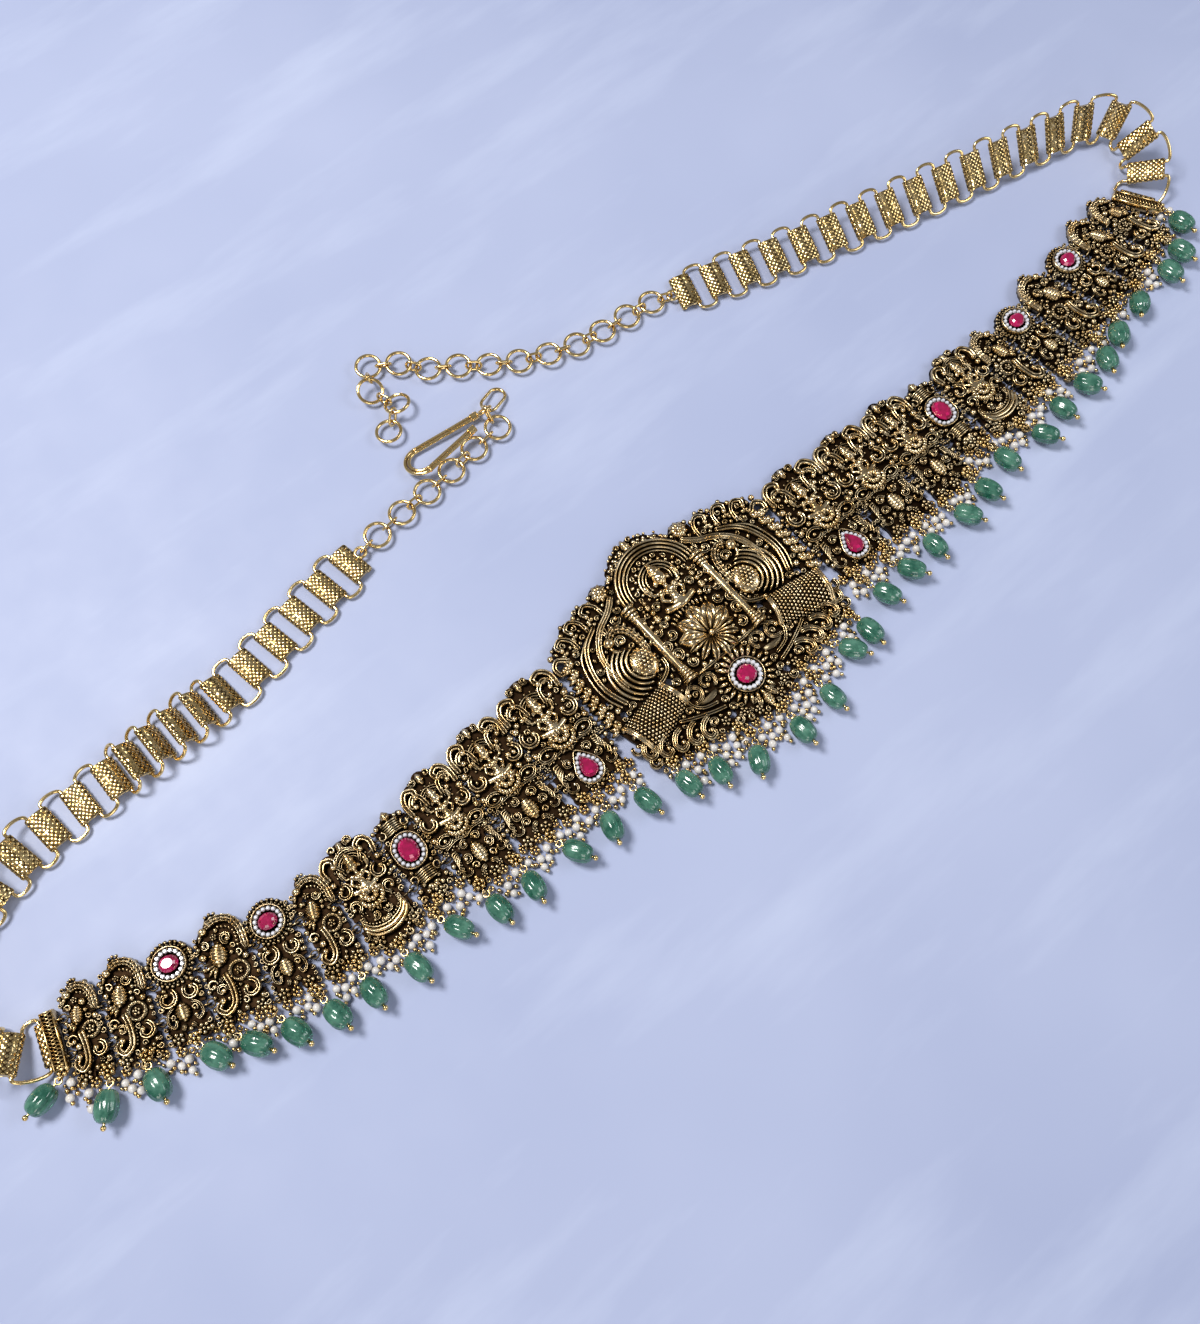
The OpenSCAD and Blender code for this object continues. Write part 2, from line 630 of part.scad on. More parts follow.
// The medallion
module medallion_outline() {
    polygon([
        [0, 35], [-6, 33], [-10.4, 28.6], [-18, 26], [-29, 25], [-33.6, 21], [-35.4, 16], [-36.6, 9],
        [-36.6, 0], [-35, -8], [-33, -14], [-31, -19], [-24, -20.6], [-14, -22.4], [-6, -25], [0, -26.6],
        [6, -25], [14, -22.4], [24, -20.6], [31, -19], [33, -14], [35, -8],
        [36.6, 0], [36.6, 9], [35.4, 16], [33.6, 21], [29, 25], [18, 26], [10.4, 28.6], [6, 33]
    ]);
    both_sides() {
        translate([14.5, 27.4]) circle(3.4);
        for (p = [[21.4, 26], [27.4, 24.8], [32.4, 22]]) translate(p) circle(3.0);
        for (y = [-1.2, 4.5, 10.2]) translate([35.4, y]) circle(2.2);
    }
    for (a = [40:20:140]) translate([0, 25] + 9.6 * along(a)) circle(1.4);
}

module medallion_gaps() {
    both_sides() {
        for (p = [[24.2, 11.4], [22.6, 9.8], [18.4, 17.6], [32.2, 13.4], [32.4, 3.6], [31.4, -1.8],
                  [16.4, -2.6], [12.6, -8.2], [19.2, -14.6], [9.8, -20.2], [27, 20.2]])
            translate(p) circle(pierce * 2.2);
    }
}

// A drum of woven wire, lying sunk in the plate, with a rope round each end
module drum() {
    intersection() {
        union() {
            translate([-8, 0, -2.4]) rotate([0, 90, 0]) cylinder(r1 = 5.2, r2 = 6.3, h = 16);
            translate([-8.4, 0, -2.4]) rotate([0, 90, 0]) cylinder(r = 5.9, h = 1.2);
            translate([7.2, 0, -2.4]) rotate([0, 90, 0]) cylinder(r = 6.9, h = 1.2);
        }
        translate([-10, -8, 0]) cube([20, 16, 8]);
    }
}

module pillar() {
    translate([0, -5, 0]) rotate([-90, 0, 0]) cylinder(r = 1.0, h = 23);
    translate([0, -6.6, 0]) rotate([-90, 0, 0]) cylinder(r = 1.8, h = 1.4);
    translate([0, -4.6, 0]) rotate([-90, 0, 0]) cylinder(r = 1.5, h = 1.2);
    translate([0, 16.4, 0]) rotate([-90, 0, 0]) cylinder(r = 1.5, h = 1.0);
    translate([0, 18.0, 0]) rotate([-90, 0, 0]) cylinder(r = 1.8, h = 1.2);
}

// The two rows of petals of the big lotus
module lotus() {
    for (a = [15:30:165])
        rotate(a) translate([6.6, 0, 0]) rotate(-90) bud(2.1, 4.2, 2.95 - 0.1 * abs(a - 90) / 15);
    for (a = [206:32:334]) rotate(a) translate([5.9, 0, 0]) rotate(-90) bud(1.5, 2.9, 2.2);
    translate([0, 0.6, 0]) button(3.2, 3.0);
}

module medallion_relief() {
    raised(scroll_z) {
        both_sides() {
            translate([13, 8.4]) band(14, -56, 84, 1.0);
            translate([13, 8.4]) band(15.6, -52, 80, 1.0);
            translate([16, 8.4]) band(17.0, -44, 66, 0.9);
            translate([14.5, 27.4]) petals(7, 3.2, 1.2);
            translate([21.4, 26]) scroll(2.6, -60, 200, 1.0);
            translate([27.4, 24.8]) scroll(2.6, -60, 200, 1.0);
            translate([32.2, 21.6]) scroll(2.6, -60, 200, 1.0);
            translate([13.8, -10.4]) scroll(3.0, 100, -160, 1.1);
            translate([8.2, -9.0]) scroll(2.6, 60, 330, 1.0);
            translate([30.2, -15.6]) scroll(3.0, 100, 380, 1.2);
            translate([24.6, -17.0]) scroll(2.8, 80, 360, 1.1);
            translate([15.6, -17.4]) scroll(3.2, 30, -200, 1.2);
            for (y = [-0.9:2.7:18]) translate([34.6 - max(0, y - 12) * 0.25, y]) circle(1.5);
        }
        translate([0, -14.8]) petals(16, 7.4, 1.4);
    }
    raised(middle_z) {
        translate([0, 6.5]) square([27, 27], center = true);
        translate([0, 19]) circle(12.6);
        translate([0, 1]) circle(11);
    }
    slab(middle_z - sink, 1.3) {
        translate([0, 19.6]) band(11.6, -4, 184, 1.0);
        translate([0, 19.6]) band(9.6, -4, 184, 1.0);
    }
    both_sides() {
        translate([12.2, 0, middle_z]) pillar();
        translate([25.6, -8.2, plate_t - sink]) rotate(-14) drum();
        translate([18.2, 5.4, plate_t - sink]) peacock();
        for (p = [[7.2, -21.8], [12.6, -20.6], [29.6, -19.4], [22.6, -20.2]])
            translate(concat(p, 0)) flower(1.7);
    }
    for (a = [32:14.5:148]) translate(concat([0, 22] + 12 * along(a), plate_t - sink)) button(1.3, 3.2);
    translate([0, 33.6, plate_t - sink]) button(1.7, 3.2);
    translate([0, 2.4, middle_z - sink]) lotus();
    translate([0, 8.4, middle_z - sink]) scale(1.36) figure();
    translate([0, -14.8, 0]) setting(4.9, 0);
    translate([0, -23.2, plate_t - sink]) bud(2.0, 3.2, 2.6);
}

module medallion() {
    color(gold) union() {
        difference() {
            union() {
                difference() {
                    slab(0, plate_t) medallion_outline();
                    slab(-1, plate_t + 2) medallion_gaps();
                }
                medallion_relief();
            }
            translate([0, -14.8, 0]) pocket() circle(2.95);
            for (side = [-1, 1]) eye_notch(side, 1);
        }
        for (side = [-1, 1]) {
            flat_eye(side, 1);
            bails(side, 0);
        }
    }
}

// Rubies, each standing on the floor of its pocket
module ruby(side, i, y, points, h) {
    color(ruby_red) at_panel(side, i) translate([0, y, plate_t + 0.52]) cut_stone(points, h);
}

// The fringe
module melon_bead() {
    r = bead_d / 2;
    l = bead_l / 2;
    b = bead_bore / 2;
    rotate([0, 90, 0]) rotate_extrude()
        polygon([[b, -l], [0.5 * r, -0.96 * l], [0.8 * r, -0.66 * l], [r, -0.1 * l], [0.98 * r, 0.2 * l],
                 [0.76 * r, 0.7 * l], [0.42 * r, 0.96 * l], [b, l]]);
}

module head_pin() {
    reach = bead_l / 2 + drop_gap;
    rod([-reach + drop_step + drop_eye_r, 0, 0], [bead_l / 2 + 0.5, 0, 0], pin_d / 2);
    translate([bead_l / 2 + 0.85, 0, 0]) sphere(0.7);
    translate([-reach + drop_step, 0, 0]) ring_of_wire(drop_eye_r, eye_wire);
}

module melon_beads() {
    color(bead_green) for (d = concat(DROPS_LEFT, [DROP_MIDDLE], DROPS_RIGHT)) at_drop(d) melon_bead();
}

module head_pins() {
    color(bright_gold) for (d = concat(DROPS_LEFT, [DROP_MIDDLE], DROPS_RIGHT)) at_drop(d) head_pin();
}

// The book chains
function head_row(side) = side > 0 ? HEAD_RIGHT : HEAD_LEFT;
function lean(side, k) = lookup(k, side > 0 ? LEAN_RIGHT : LEAN_LEFT);
function step(side, k) = lookup(k, side > 0 ? STEP_RIGHT : STEP_LEFT);
function dip(side, k) = lookup(k, side > 0 ? DIP_RIGHT : DIP_LEFT);
function plates(side) = side > 0 ? plates_right : plates_left;
function bar_start(side) = mid_of(side, 12) + side * end_reach * along(row_of(side, 12)[2]);

// Height of a plate's middle, so that its lower end rests on the surface
function plate_z(side, k) = k == 0 ? roll_r + 0.05
    : (book_l / 2 + ring_bow + book_wire + 0.75) * sin(lean(side, k)) + (roll_r + 0.12) * cos(lean(side, k))
      + book_b / 2 * sin(dip(side, k)) + 0.0056 * dip(side, k);

// Middles of the plates in plan, plate 0 being the end bar's bore
function chain_plan(side) = [for (
    k = 0, p = bar_start(side);
    k <= plates(side);
    p = p + step(side, k) * along(lookup(k, head_row(side))), k = k + 1) p];

PLAN_RIGHT = chain_plan(1);
PLAN_LEFT = chain_plan(-1);
function plan(side, k) = side > 0 ? PLAN_RIGHT[k] : PLAN_LEFT[k];
function plate_mid(side, k) = concat(plan(side, k), plate_z(side, k));

// A plate's heading is the way between its neighbours, tipped down where the chain is bunched
function plate_heading(side, k) = let (
    last = plates(side),
    a = plate_mid(side, max(k - 1, 0)),
    b = plate_mid(side, min(k + 1, last)),
    d = unit(b - a),
    rise = asin(d[2]) - dip(side, k),
    turn = atan2(d[1], d[0]))
    [cos(rise) * cos(turn), cos(rise) * sin(turn), sin(rise)];

// The way along a plate's rolled edges, towards the outside of the chain's bend
function plate_across(side, k) = let (
    h = plate_heading(side, k),
    flat = side * unit([h[1], -h[0], 0]),
    up = [0, 0, 1],
    d = cos(lean(side, k)) * flat + sin(lean(side, k)) * up)
    unit(d - (d * h) * h);

// Middles of a plate's two bores, the one nearer the end bar first
function bore_in(side, k) = plate_mid(side, k) - plate_heading(side, k) * book_b / 2;
function bore_out(side, k) = k == 0 ? plate_mid(side, 0)
    : plate_mid(side, k) + plate_heading(side, k) * book_b / 2;
function across_at(side, k) = k == 0 ? [sin(row_of(side, 12)[2]), -cos(row_of(side, 12)[2]), 0]
    : plate_across(side, k);

module in_frame(p, x, y) {
    z = cross(x, y);
    multmatrix([[x[0], y[0], z[0], p[0]], [x[1], y[1], z[1], p[1]], [x[2], y[2], z[2], p[2]], [0, 0, 0, 1]])
        children();
}

module book_plate(side, k) {
    in_frame(plate_mid(side, k), plate_heading(side, k), -side * plate_across(side, k))
        rotate([90, 0, 0]) translate([0, 0, -book_l / 2]) linear_extrude(book_l) difference() {
            union() {
                for (x = [-1, 1]) translate([x * book_b / 2, 0]) circle(roll_r);
                polygon([[-book_b / 2, 0.1], [book_b / 2, 0.1], [book_b / 2, roll_r], [0.9, roll_r + 0.35],
                         [-0.9, roll_r + 0.35], [-book_b / 2, roll_r]]);
            }
            for (x = [-1, 1]) translate([x * book_b / 2, 0]) circle(roll_bore);
        }
}

// One ring: a straight bar in each of two plates, and a bowed end at each side
module book_ring(side, k) {
    p = bore_out(side, k);
    q = bore_in(side, k + 1);
    dp = (book_l / 2 + 0.75) * across_at(side, k);
    dq = (book_l / 2 + 0.75) * across_at(side, k + 1);
    wire_loop(concat(bow(p - dp, p + dp, q + dq), bow(q + dq, q - dq, p - dp)), unit(cross(q - p, dp + dq)));
}

// Points of a bowed end, from the bar that runs from point a to e, round to the next bar's end f
function bow(a, e, f) = let (
    c = norm(f - e),
    x = (f - e) / c,
    y = unit((e - a) - ((e - a) * x) * x))
    concat(
        [e],
        [for (t = [36:36:144]) (e + f) / 2 - c / 2 * cos(t) * x + min(ring_bow, 0.45 * c) * sin(t) * y],
        [f]);

// A wire of five sides along a closed loop of points, which lies roughly square to w
module wire_loop(loop, w) {
    n = len(loop);
    polyhedron(
        points = [for (i = [0:n - 1]) let (
            t = unit(loop[(i + 1) % n] - loop[(i + n - 1) % n]),
            u = unit(cross(w, t)),
            v = cross(t, u))
            for (a = [0:72:288]) loop[i] + book_wire * (cos(a) * u + sin(a) * v)],
        faces = [for (i = [0:n - 1], j = [0:4]) let (m = (i + 1) % n, l = (j + 1) % 5)
            for (h = [0, 1]) h == 0 ? [5 * i + j, 5 * m + j, 5 * m + l] : [5 * i + j, 5 * m + l, 5 * i + l]]
    );
}

// The eye on the last plate, which the ring chain hooks into
function tail_mid(side) = plate_mid(side, plates(side)) + plate_heading(side, plates(side)) * (book_b / 2 + 2)
    + [0, 0, 0.68];

module tail_eye(side) {
    n = plates(side);
    translate(tail_mid(side)) ring_of_wire(1.5, 0.45);
}

module book_plates(side) {
    color(bright_gold) {
        for (k = [1:plates(side) - 1]) book_plate(side, k);
        union() {
            book_plate(side, plates(side));
            tail_eye(side);
        }
    }
}

module book_rings(side) {
    color(bright_gold) for (k = [0:plates(side) - 1]) book_ring(side, k);
}

// The ring chains
function ring_head(side) = side > 0 ? RINGS_RIGHT : RINGS_LEFT;
function ring_step(side) = side > 0 ? ring_step_right : ring_step_left;
function banks(side) = side > 0 ? BANK_RIGHT : BANK_LEFT;
function tail_turn(side) = angle_of(plate_heading(side, plates(side)));
function first_ring(side) = flat(tail_mid(side)) + (1.5 + 1.8 + loop_r) * along(tail_turn(side));
function ring_plan(side) = [for (
    k = 0, p = first_ring(side);
    k < len(banks(side));
    p = p + ring_step(side) * along(lookup(k, ring_head(side))), k = k + 1) p];
RING_PLAN_RIGHT = ring_plan(1);
RING_PLAN_LEFT = ring_plan(-1);
function ring_mid(side, k) = concat(side > 0 ? RING_PLAN_RIGHT[k] : RING_PLAN_LEFT[k],
    ring_z + loop_r * sin(abs(banks(side)[k])));

module loop_ring(side, k) {
    n = len(banks(side));
    a = lookup(min(k, n - 2), ring_head(side));
    translate(ring_mid(side, k)) rotate([banks(side)[k], 0, 0]) ring_of_wire(loop_r, loop_wire);
}

// A small link from point p on one ring to point q on the next, rolled a little to one side
module small_link(p, q, roll) {
    d = q - p;
    r = 1.25;
    translate((p + q) / 2) rotate([0, -asin(d[2] / norm(d)), atan2(d[1], d[0])]) rotate([90 + roll, 0, 0]) {
        for (s = [-1, 1]) {
            rod([-norm(d) / 2 - 0.1, s * r, 0], [norm(d) / 2 + 0.1, s * r, 0], link_wire - 0.03);
            translate([s * norm(d) / 2, 0, 0]) rotate(s > 0 ? -90 : 90)
                rotate_extrude(angle = 180) translate([r, 0]) circle(link_wire);
        }
    }
}

// The point of ring k that faces point t
function facing(side, k, t) = let (
    m = ring_mid(side, k), d = unit(flat(t) - flat(m)), b = banks(side)[k])
    m + loop_r * [d[0], d[1] * cos(b), d[1] * sin(b)];

module ring_chain(side) {
    n = len(banks(side));
    t = tail_mid(side);
    color(bright_gold) {
        for (k = [0:n - (side > 0 ? 2 : 1)]) loop_ring(side, k);
        union() small_link(t + 1.5 * concat(along(tail_turn(side)), 0), facing(side, 0, t), 20);
        for (k = [0:n - 2]) union() small_link(
            facing(side, k, ring_mid(side, k + 1)),
            facing(side, k + 1, ring_mid(side, k)),
            k % 2 == 0 ? 24 : -20);
        if (side < 0) union() small_link(facing(side, n - 1, HOOK_EYE),
            HOOK_EYE + hook_eye_r * [0, -cos(eye_turn), sin(eye_turn)], 0);
    }
}

// The last free ring, which the hook closes on
module end_ring() {
    color(bright_gold) loop_ring(1, len(BANK_RIGHT) - 1);
}

// The hook: two strands side by side, bent back on themselves. It leans over the ring chain, and its
// eye is turned across it, so that the chain's last link and the spare ring both pass through.
HOOK_BEND = [-25.4, 91.3, 2.08];
HOOK_EYE = [-2.4, 92.1, 2.34];
hook_r = 4.4;
hook_eye_r = 2.1;
hook_lean = 16.5;
eye_turn = 55;
arm_drop = 7.5;
strand = 0.55;
corner = 0.28;

// Both strands of one arm, from the end of the bend at angle a to a collar at point t, with a ball of
// solder where each leaves the bend
module hook_arm(side, a, t) {
    m = hook_r * concat(along(a), 0);
    for (s = [-1, 1]) let (
        p = (hook_r + s * strand) * concat(along(a), 0),
        q = t + [0, side * s * strand, 0]) {
        translate(p) sphere(hook_wire + 0.1);
        rod(p + corner * unit(q - p), q, hook_wire);
    }
    rod(t - 1.6 * unit(t - m), t + 0.6 * unit(t - m), strand + hook_wire + 0.12);
}

module hook() {
    first = 90 - arm_drop;
    last = 266;
    color(bright_gold) union() {
        translate(HOOK_EYE) rotate([-eye_turn, 0, 0]) ring_of_wire(hook_eye_r, hook_wire);
        translate(HOOK_BEND) rotate([-hook_lean, 0, 0]) {
            for (r = [hook_r - strand, hook_r + strand]) let (trim = corner / r * 57)
                rotate(first + trim) rotate_extrude(angle = last - first - 2 * trim)
                    translate([r, 0]) circle(hook_wire);
            hook_arm(1, first, [20.4, 1.5, 0]);
            hook_arm(-1, last, [16.6, -2.9, 0.8]);
        }
    }
}

// A spare oval ring through the hook's eye
module hook_ring() {
    r = 2.35;
    half = 1.9;
    color(bright_gold) translate(HOOK_EYE) rotate([0, 10, 18]) translate([0.6 + r + half, 0, 0])
        union() for (s = [-1, 1]) {
            translate([s * half, 0, 0]) rotate(s > 0 ? -90 : 90)
                rotate_extrude(angle = 180) translate([r, 0]) circle(0.45);
            rod([-half, s * r, 0], [half, s * r, 0], 0.45);
        }
}

medallion();
ruby(1, 0, -19.3, HEART, 3.2);  // medallion_ruby
goddess_panel(1, 1, 9.0, 1.0);  // right_goddess_1
goddess_panel(1, 2, 8.2, 0.94);  // right_goddess_2
goddess_panel(1, 3, 7.4, 0.84);  // right_goddess_3
barrel_link(1);  // right_barrel_link
throne_panel(1);  // right_throne_panel
peacock_panel(1, 6, 4.9, 1.0);  // right_inner_peacock
rosette_panel(1, 7);  // right_inner_rosette
peacock_panel(1, 8, 6.3, 1.1);  // right_middle_peacock
rosette_panel(1, 9);  // right_outer_rosette
peacock_panel(1, 10, 5.3, 1.0);  // right_outer_peacock
peacock_panel(1, 11, 4.2, 0.86);  // right_end_peacock
end_bar(1);  // right_end_bar
goddess_panel(-1, 1, 9.0, 1.0);  // left_goddess_1
goddess_panel(-1, 2, 8.2, 0.94);  // left_goddess_2
goddess_panel(-1, 3, 7.4, 0.84);  // left_goddess_3
barrel_link(-1);  // left_barrel_link
throne_panel(-1);  // left_throne_panel
peacock_panel(-1, 6, 4.9, 1.0);  // left_inner_peacock
rosette_panel(-1, 7);  // left_inner_rosette
peacock_panel(-1, 8, 6.3, 1.1);  // left_middle_peacock
rosette_panel(-1, 9);  // left_outer_rosette
peacock_panel(-1, 10, 5.3, 1.0);  // left_outer_peacock
peacock_panel(-1, 11, 4.2, 0.86);  // left_end_peacock
end_bar(-1);  // left_end_bar
ruby(1, 1, -10.6, TEAR, 2.8);  // right_teardrop_ruby
ruby(1, 4, 2.4, OVAL, 2.8);  // right_oval_ruby
ruby(1, 7, 7.6, ROUND, 2.6);  // right_inner_ruby
ruby(1, 9, 7.6, ROUND, 2.6);  // right_outer_ruby
ruby(-1, 1, -10.6, TEAR, 2.8);  // left_teardrop_ruby
ruby(-1, 4, 2.4, OVAL, 2.8);  // left_oval_ruby
ruby(-1, 7, 7.6, ROUND, 2.6);  // left_inner_ruby
ruby(-1, 9, 7.6, ROUND, 2.6);  // left_outer_ruby
melon_beads();
head_pins();
book_plates(1);  // right_book_plates
book_rings(1);  // right_book_rings
book_plates(-1);  // left_book_plates
book_rings(-1);  // left_book_rings
ring_chain(1);  // right_ring_chain
ring_chain(-1);  // left_ring_chain
end_ring();
hook();
hook_ring();
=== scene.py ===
"""Looks of a temple-style hip chain that lies on its back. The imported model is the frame; panels, fringe and
chains get their ornament, stones and finishes here. Shapes are built in millimetres, in the row frame."""
from math import asin, atan2, cos, degrees, hypot, pi, radians, sin, sqrt, tan

import bmesh
import bpy
import numpy as np
from mathutils import Matrix, Vector
from mathutils.bvhtree import BVHTree
from mathutils.kdtree import KDTree


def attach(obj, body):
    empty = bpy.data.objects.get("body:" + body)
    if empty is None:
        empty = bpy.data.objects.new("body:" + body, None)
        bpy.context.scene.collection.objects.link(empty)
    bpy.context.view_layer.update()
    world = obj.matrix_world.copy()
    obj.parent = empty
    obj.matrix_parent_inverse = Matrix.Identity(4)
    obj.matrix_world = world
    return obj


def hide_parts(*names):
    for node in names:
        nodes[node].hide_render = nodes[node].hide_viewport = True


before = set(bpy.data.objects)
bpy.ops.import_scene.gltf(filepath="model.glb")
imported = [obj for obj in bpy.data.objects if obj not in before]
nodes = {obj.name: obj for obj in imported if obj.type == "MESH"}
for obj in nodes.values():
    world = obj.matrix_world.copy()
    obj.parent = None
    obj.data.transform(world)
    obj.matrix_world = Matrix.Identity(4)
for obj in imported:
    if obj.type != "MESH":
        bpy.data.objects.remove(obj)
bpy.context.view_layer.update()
rng = np.random.default_rng(7)
MM = 0.001
# top of the panel plates, and the height that ornament rises from, just inside them
PLATE, BED = 1.4, 1.3

# ---------------------------------------------------------------- camera, lights and floor
CAMERA = Vector((-94.55, -65.08, 302.57)) * MM
LOOK = Vector((0.2130, 0.2462, -0.9455)).normalized()
ACROSS = Vector((0.7563, -0.6542, 0)).normalized()
LENS = 32.63
MIDDLE = Vector((0, 0.02, 0))


def new_object(name, data):
    o = bpy.data.objects.new(name, data)
    bpy.context.scene.collection.objects.link(o)
    return o


def make_camera():
    data = bpy.data.cameras.new("camera")
    data.sensor_fit, data.sensor_width = "AUTO", 36
    data.lens, data.clip_start = LENS, 0.01
    up = (-LOOK).cross(ACROSS).normalized()
    m = Matrix((up.cross(-LOOK).normalized(), up, -LOOK)).transposed().to_4x4()
    m.translation = CAMERA
    cam = new_object("camera", data)
    cam.matrix_world = m
    bpy.context.scene.camera = cam


def area_light(name, pos, size, power, colour):
    """A soft light at pos that points at the middle of the part."""
    data = bpy.data.lights.new(name, "AREA")
    data.shape = "RECTANGLE"
    data.size, data.size_y = size
    data.energy, data.color = power, colour
    o = new_object(name, data)
    o.location = pos
    o.rotation_euler = (MIDDLE - Vector(pos)).to_track_quat("-Z", "Y").to_euler()


# ---------------------------------------------------------------- node helpers for materials
class Nodes:
    """A material under way, with short calls that add and join its nodes."""

    def __init__(self, name):
        self.mat = bpy.data.materials.new(name)
        self.mat.use_nodes = True
        self.t = self.mat.node_tree
        self.shader = self.t.nodes["Principled BSDF"]
        self.coord = self.t.nodes.new("ShaderNodeTexCoord").outputs

    def set(self, n, inputs):
        for key, value in inputs.items():
            if isinstance(value, bpy.types.NodeSocket):
                self.t.links.new(value, n.inputs[key])
            else:
                n.inputs[key].default_value = value

    def add(self, kind, inputs, **settings):
        n = self.t.nodes.new(kind)
        for key, value in settings.items():
            setattr(n, key, value)
        self.set(n, inputs)
        return n.outputs

    def noise(self, scale, detail=3.0, rough=0.6, coord=None):
        return self.add("ShaderNodeTexNoise", {"Scale": scale, "Detail": detail, "Roughness": rough,
                                               "Vector": coord or self.coord["Object"]})["Fac"]

    def span(self, value, a, b, c=0.0, d=1.0):
        """The value's range a to b, spread over c to d."""
        return self.add("ShaderNodeMapRange", {"From Min": a, "From Max": b, "To Min": c, "To Max": d,
                                               "Value": value})["Result"]

    def mix(self, fac, a, b):
        a, b = (c if isinstance(c, bpy.types.NodeSocket) else (*c, 1) for c in (a, b))
        return self.add("ShaderNodeMix", {0: fac, 6: a, 7: b}, data_type="RGBA")[2]

    def math(self, op, a, b):
        return self.add("ShaderNodeMath", {0: a, 1: b}, operation=op)[0]

    def split(self, vector):
        return self.add("ShaderNodeSeparateXYZ", {0: vector})

    def bump(self, height, strength, distance):
        bent = self.add("ShaderNodeBump", {"Strength": strength, "Distance": distance, "Height": height})
        self.set(self.shader, {"Normal": bent["Normal"]})


KNURL_PITCH = 1.5


def gold(name, light, mid, shade_tone, rough, shade_below=None, reach=0.0012, hollow=(0.25, 0.8), bump=0.25, back=None, knurl_groove_shade=False):
    """Gold whose colour is darkened towards a shade tone as painted shade: in its hollows by ambient occlusion, on low
    parts below a given height, and in the grooves of a knurled skin.
    """
    m = Nodes(name)
    colour = m.mix(m.span(m.noise(260, 3), 0.35, 0.68), mid, light)
    # painted shade: ambient occlusion darkens the colour in hollows and between parts
    clear = m.span(m.add("ShaderNodeAmbientOcclusion", {"Distance": reach}, samples=6)["AO"], *hollow)
    # painted shade: the relief is darker on its low parts, near the plate
    if shade_below:
        clear = m.math("MULTIPLY", clear, m.span(m.split(m.coord["Object"])["Z"], *shade_below, 0.12, 1.0))
    # painted shade in the grooves between the diamonds of a knurled skin
    if knurl_groove_shade:
        skin = m.split(m.coord["UV"])
        waves = [m.math("COSINE", m.math("MULTIPLY", m.math(op, skin["X"], skin["Y"]), pi / KNURL_PITCH), 0)
                 for op in ("ADD", "SUBTRACT")]
        ridge = m.math("ABSOLUTE", m.math("MULTIPLY", *waves), 0)
        clear = m.math("MULTIPLY", clear, m.span(ridge, 0.22, 0.60, 0.02, 1.0))
    # the colour goes to the shade tone wherever the mask marks painted shade
    seen = m.mix(clear, shade_tone, colour)
    # faces turned down take the plain colour back; faces turned up keep the painted shade
    if back:
        way = m.split(m.add("ShaderNodeNewGeometry", {})["Normal"])
        seen = m.mix(m.span(way["Z"], -0.7, -0.2), back, seen)
    fine = m.noise(2600, 4, 0.7)
    worn = m.math("ADD", m.span(fine, 0.3, 0.75, *rough), m.span(clear, 0.0, 1.0, 0.22, 0.0))
    m.set(m.shader, {"Metallic": 1.0, "Base Color": seen, "Roughness": worn})
    m.bump(fine, bump, 0.00006)
    return m.mat


def stone(name, light, deep, rough, through, ior, scale=500, bump=0.0, coat=0.0, painted_facet_light=False):
    """A stone with a little cloud in its colour; where it is cut, each facet also gets a painted light tone of its own,
    standing in for the light it catches.
    """
    m = Nodes(name)
    cloud = m.noise(scale, 4, 0.65)
    tone = m.span(cloud, 0.36, 0.66)
    if painted_facet_light:
        # painted light: the tone follows each facet's facing, in place of its reflection
        facet_light_tone = m.noise(2.6, 2, 0.5, m.coord["Normal"])
        tone = m.math("ADD", m.math("MULTIPLY", tone, 0.25), m.span(facet_light_tone, 0.38, 0.62, 0.0, 0.75))
    m.set(m.shader, {"Transmission Weight": through, "IOR": ior, "Coat Weight": coat, "Coat Roughness": 0.06,
                     "Base Color": m.mix(tone, deep, light), "Roughness": m.span(cloud, 0.3, 0.7, *rough)})
    if bump:
        m.bump(m.noise(scale * 4, 3), bump, 0.00005)
    return m.mat


def floor_material():
    """Pale cloth-like floor with soft streaks."""
    m = Nodes("pale_floor")
    turned = m.add("ShaderNodeMapping", {"Vector": m.coord["Object"], "Rotation": (0, 0, 0.5), "Scale": (9, 42, 1)})
    streak = m.span(m.noise(1.0, 5, 0.6, turned[0]), 0.5, 0.75, 0.0, 0.5)
    cloud = m.mix(m.span(m.noise(7, 3, 0.5), 0.3, 0.7), (0.355, 0.405, 0.595), (0.425, 0.475, 0.665))
    m.set(m.shader, {"Base Color": m.mix(streak, cloud, (0.53, 0.59, 0.77)),
                     "Roughness": m.span(m.noise(60, 3), 0.3, 0.7, 0.55, 0.7)})
    return m.mat


# gold finishes: the third, darkest tone of each is painted shade, laid in hollows by ambient occlusion; antique gold is
# also painted darker on its low parts, 1.5 to 2.9 mm up
ANTIQUE = gold("antique_gold", (1.0, 0.82, 0.52), (0.60, 0.40, 0.17), (0.010, 0.005, 0.002), (0.13, 0.28),
               shade_below=(0.0015, 0.0029), hollow=(0.36, 0.9))
# painted shade: a near-black sheet for the tops of plates, the medallion's field and the drum cores, where shade falls
# between the ornament; faces turned down keep a plain gold
PAINTED_SHADE_SHEET = gold("painted_shade_sheet", (0.032, 0.017, 0.008), (0.015, 0.008, 0.004), (0.004, 0.002, 0.001), (0.4, 0.6), bump=0.5,
              back=(0.62, 0.43, 0.18))
BRIGHT = gold("polished_gold", (0.96, 0.73, 0.36), (0.84, 0.58, 0.22), (0.22, 0.10, 0.025), (0.12, 0.24),
              reach=0.0009, hollow=(0.15, 0.75), bump=0.1)
